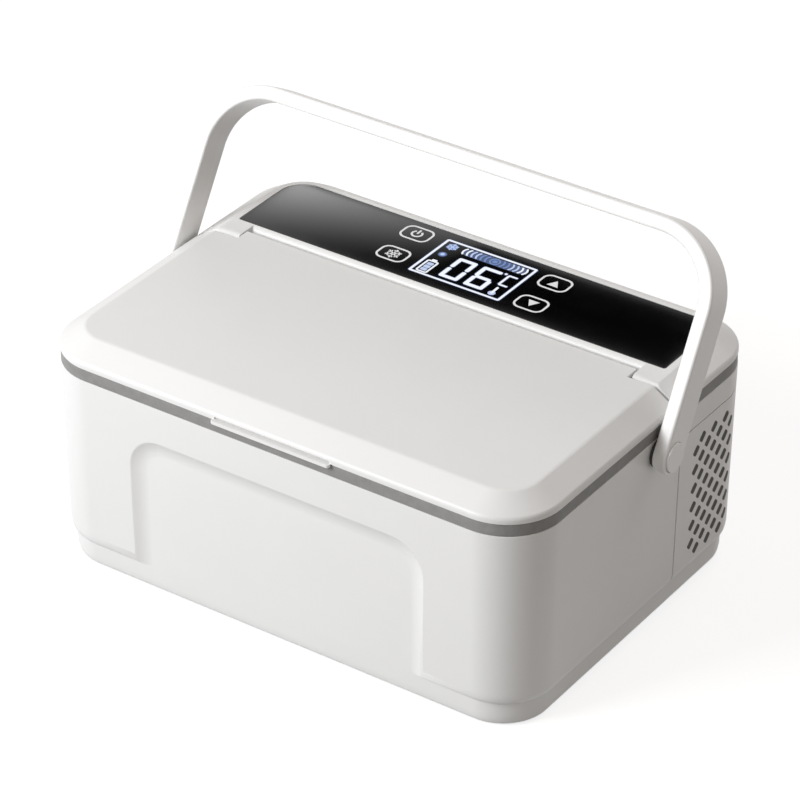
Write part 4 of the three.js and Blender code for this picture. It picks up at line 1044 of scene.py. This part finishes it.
handle = to_object("carrying_handle", bail())
soften(handle, handle_edge, edge_steps)
for side in (-1, 1):
    carve(handle, rod(cap_radius + cap_gap, (side * (arm_offset - cap_sink - cap_gap), 0, 0),
                      (side * (arm_offset + clear), 0, 0)))
handle.data.transform(Matrix.Translation(pivot) @ Matrix.Rotation(-handle_tilt, 4, "X"))
dress(handle, handle_plastic, "handle", "handle_plastic", "handle_bail")
for side, name in ((-1, "left"), (1, "right")):
    cap = to_object(f"round_cap_{name}", rod(cap_radius, (side * cap_inner, pivot.y, pivot.z),
                                             (side * cap_outer, pivot.y, pivot.z), cap_steps))
    soften(cap, width=cap_edge)
    dress(cap, handle_plastic, "handle", "handle_plastic", f"pivot_cap_{name}")


# Inner liner
# The chamber is a one-piece tub of light grey plastic. Its flange rests on the top of the body, and
# its back wall has an opening for the stem of the cold block.
liner_low, liner_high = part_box("inner_liner")
liner_wall = 0.0018
chamber_half, chamber_front, chamber_rear, chamber_floor = 0.108, -0.07775, 0.01025, 0.024
chamber_radius, chamber_fillet, fillet_steps = 0.012, 0.004, 6
flange_radius, flange_rear_radius, liner_edge = 0.0229, 0.001, 0.0005
stem_half, cooler_height, stem_gap = 0.020, 0.055, 0.0003
liner_grey, liner_rough = (0.56, 0.57, 0.58), 0.38

liner_plastic = moulded("liner_plastic", liner_grey, liner_rough)


def chamber_form(grow, low, top, fillet):
    """A block with the chamber's outline, grown on its sides and rounded at its foot."""
    bm = block((-chamber_half - grow, chamber_front - grow, low),
               (chamber_half + grow, chamber_rear + grow, top), chamber_radius + grow)
    round_level(bm, low, fillet, fillet_steps)
    return bm


liner = to_object("chamber_liner", block(
    (liner_low.x, liner_low.y, band_low.z), liner_high, flange_rear_radius, flange_radius))
carve(liner, chamber_form(liner_wall, chamber_floor - liner_wall, liner_high.z - plane_gap,
                          chamber_fillet + liner_wall), "UNION")
carve(liner, chamber_form(0, chamber_floor, liner_high.z + clear, chamber_fillet))
carve(liner, zone(about(0, stem_half + stem_gap), (0, beyond), about(cooler_height, stem_half + stem_gap)))
soften(liner, width=liner_edge)
dress(liner, liner_plastic, "case", "liner_plastic", "inner_liner")


# Cold block and sensor
# A brushed aluminium plate on the chamber's back wall takes in the heat, and its stem carries it to
# the cooling module behind. A small steel sensor above it reads the chamber's temperature.
plate_radius, plate_thickness, plate_edge, plate_steps = 0.004, 0.002, 0.0003, 8
sensor_edge, sensor_edge_steps, thin_rod_steps = 0.0009, 4, 32
clip_half, clip_wall, clip_foot, clip_edge = 0.0025, 0.0008, 0.0022, 0.0002
bare_metal, metal_rough, brushed = (0.72, 0.73, 0.74), 0.34, (1, 30, 30)
tool_steel, steel_rough = (0.52, 0.52, 0.53), 0.3
line_scale, line_rough, line_low, line_spread, line_depth = 240, 0.6, 0.86, 0.16, 0.000008


def metal(name, colour, rough, stretch=(1, 1, 1)):
    """Bare metal with fine brushing or a tumbled skin."""
    finish = Finish(name, colour, metallic=1.0, roughness=rough)
    lines = finish.noise(line_scale, 3, line_rough, stretch)
    finish.mottle(lines, colour, line_low)
    finish.uneven_gloss(lines, rough, line_spread)
    finish.bump(lines, line_depth)
    return finish.material


def standing_plate(low, high, radius):
    """A plate that stands upright across the case, with round corners."""
    bm = block((low[0], low[2], -high[1]), (high[0], high[2], -low[1]), radius, steps=plate_steps)
    swing(bm, pi / 2, "X")
    return bm


brushed_aluminium = metal("brushed_aluminium", bare_metal, metal_rough, brushed)
block_low, block_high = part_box("cold_block")
cold_block = to_object("cold_plate", standing_plate(
    block_low, (block_high.x, block_low.y + plate_thickness, block_high.z), plate_radius))
carve(cold_block, zone(about(0, stem_half), (block_low.y + plate_thickness / 2, block_high.y),
                       about(cooler_height, stem_half)), "UNION")
soften(cold_block, width=plate_edge)
dress(cold_block, brushed_aluminium, "case", "aluminium", "cold_block")

steel = metal("steel", tool_steel, steel_rough)
sensor_low, sensor_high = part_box("temperature_sensor")
sensor_radius = (sensor_high.z - sensor_low.z) / 2
sensor_axis = ((sensor_low.y + sensor_high.y) / 2, (sensor_low.z + sensor_high.z) / 2)
sensor = to_object("sensor_tube", rod(
    sensor_radius, (sensor_low.x, *sensor_axis), (sensor_high.x, *sensor_axis), thin_rod_steps))
soften(sensor, sensor_edge, sensor_edge_steps)
dress(sensor, steel, "case", "steel", "temperature_sensor")
clip_middle = Vector(((sensor_low.x + sensor_high.x) / 2, *sensor_axis))
clip_side = Vector((clip_half, 0, 0))
clip = to_object("sensor_clip", rod(
    sensor_radius + clip_wall, clip_middle - clip_side, clip_middle + clip_side, thin_rod_steps))
carve(clip, zone(about(clip_middle.x, clip_half), (clip_middle.y, chamber_rear + liner_wall / 2),
                 about(clip_middle.z, clip_foot)), "UNION")
soften(clip, width=clip_edge)
dress(clip, liner_plastic, "case", "liner_plastic")


# Lid inner panel and gasket
# The lid closes inwards with a plate of the same grey plastic. Its plug dips into the chamber's
# mouth, and a soft rubber gasket round the plug rests on the liner's flange.
panel_low, panel_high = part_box("lid_inner_panel")
panel_thickness, plug_inset, plug_round, panel_edge = 0.002, 0.0015, 0.002, 0.0004
panel_corner, panel_rear_corner = 0.0247, 0.0005
gasket_low, gasket_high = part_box("lid_gasket")
gasket_width, gasket_grow, gasket_round = 0.0052, -0.0012, 0.0014
magnet_radius, magnet_gap, magnet_edge = 0.004, 0.0003, 0.0003

lid_panel = to_object("lid_lining", block(
    (panel_low.x, panel_low.y, panel_high.z - panel_thickness), panel_high, panel_rear_corner, panel_corner))
carve(lid_panel, chamber_form(-plug_inset, panel_low.z, panel_high.z - plane_gap, plug_round), "UNION")
for number in (1, 2):
    carve(lid_panel, node_rod(f"lid_magnet_{number}", magnet_radius + magnet_gap, clear, magnet_gap))
soften(lid_panel, width=panel_edge)
dress(lid_panel, liner_plastic, "lid", "liner_plastic", "lid_inner_panel")

gasket = to_object("lid_seal", chamber_form(
    gasket_grow + gasket_width, gasket_low.z, gasket_high.z, gasket_round))
carve(gasket, chamber_form(gasket_grow, gasket_low.z - clear, gasket_high.z + clear, gasket_round))
dress(gasket, band_rubber, "lid", "band_rubber", "lid_gasket")

for body, group in (("lid", "lid_magnet"), ("case", "body_magnet")):
    for number in (1, 2):
        magnet = to_object(f"{group}_disc_{number}", node_rod(f"{group}_{number}", magnet_radius))
        soften(magnet, width=magnet_edge)
        dress(magnet, steel, body, "steel", f"{group}_{number}")


# Power socket
# A round low-voltage inlet in a square black flange, pressed into the hole in the rear cover.
socket_half, socket_flange, socket_flange_half = 0.0056, 0.0007, 0.0074
socket_bore, bore_depth, socket_pin, pin_sink, pin_steps = 0.0031, 0.0100, 0.0010, 0.0010, 24
socket_edge, pin_edge = 0.0002, 0.0003
dark_plastic, dark_rough, dark_grain = (0.018, 0.018, 0.020), 0.45, 0.000008

black_plastic = moulded("black_plastic", dark_plastic, dark_rough, dark_grain)
inlet = to_object("power_inlet", standing_plate(
    (socket_low.x, socket_high.y - socket_flange, socket_low.z), socket_high, socket_flange_half / 3))
carve(inlet, zone(about(socket_middle.x, socket_half), (socket_low.y, socket_high.y - socket_flange / 2),
                  about(socket_middle.z, socket_half)), "UNION")
carve(inlet, rod(socket_bore, (socket_middle.x, socket_high.y - bore_depth, socket_middle.z),
                 (socket_middle.x, socket_high.y + clear, socket_middle.z)))
soften(inlet, width=socket_edge)
dress(inlet, black_plastic, "case", "black_plastic", "power_socket")
inlet_pin = to_object("power_inlet_pin", rod(
    socket_pin, (socket_middle.x, socket_high.y - bore_depth - pin_sink, socket_middle.z),
    (socket_middle.x, socket_high.y - pin_sink, socket_middle.z), pin_steps))
soften(inlet_pin, width=pin_edge)
dress(inlet_pin, steel, "case", "steel")


# Pieces that keep their made shape
# What stands out of sight behind the chamber, in the walls, under the glass and in the hinges keeps
# the shape of the frame and gets the finish of its own material.
foam_cream, foam_rough = (0.78, 0.74, 0.62), 0.9
cell_scale, cell_depth, cell_low = 900, 0.0002, 0.75
board_green, board_rough = (0.02, 0.12, 0.06), 0.35
track_scale, track_shift, track_gap, track_shine = 160, 0.37, 0.03, 2.2
plain_board, old_copper, copper = (0, 0, 0, 1), (0.35, 0.35, 0.35, 1), (1, 1, 1, 1)
wrap_blue, wrap_rough = (0.05, 0.13, 0.30), 0.3
ceramic_white, ceramic_rough, ceramic_grain = (0.74, 0.73, 0.70), 0.6, 0.00001
worn_rough = 0.7


def cellular(name, colour):
    """Rigid foam with open cells at its cut faces."""
    finish = Finish(name, colour, roughness=foam_rough)
    cells = finish.node("ShaderNodeTexVoronoi", None, {"Vector": finish.own_points(), "Scale": cell_scale})
    finish.mottle(cells, colour, cell_low)
    finish.bump(cells, cell_depth)
    return finish.material


def etched_board(name, colour):
    """Green board with paler copper tracks under its lacquer."""
    finish = Finish(name, colour, roughness=board_rough)
    tracks = finish.node("ShaderNodeTexBrick", {"offset": track_shift}, {
        "Vector": finish.own_points(), "Scale": track_scale, "Color1": plain_board, "Color2": old_copper,
        "Mortar": copper, "Mortar Size": track_gap})
    finish.mottle(tracks, colour, 1, track_shine)
    return finish.material


kept_finishes = {
    "steel": steel, "aluminium": brushed_aluminium, "black_plastic": black_plastic,
    "liner_plastic": liner_plastic, "foam": cellular("foam", foam_cream),
    "module_ceramic": moulded("module_ceramic", ceramic_white, ceramic_rough, ceramic_grain),
    "cell_wrap": moulded("cell_wrap", wrap_blue, wrap_rough),
    "pad_rubber": rubber("pad_rubber", rubber_grey, worn_rough),
    "circuit_board": etched_board("circuit_board", board_green)}
for part in frame["record"]["subparts"]:
    kept = bpy.data.objects.get(part["node"])
    if kept and part["material_slot"] in kept_finishes:
        kept.material_slots[0].material = kept_finishes[part["material_slot"]]
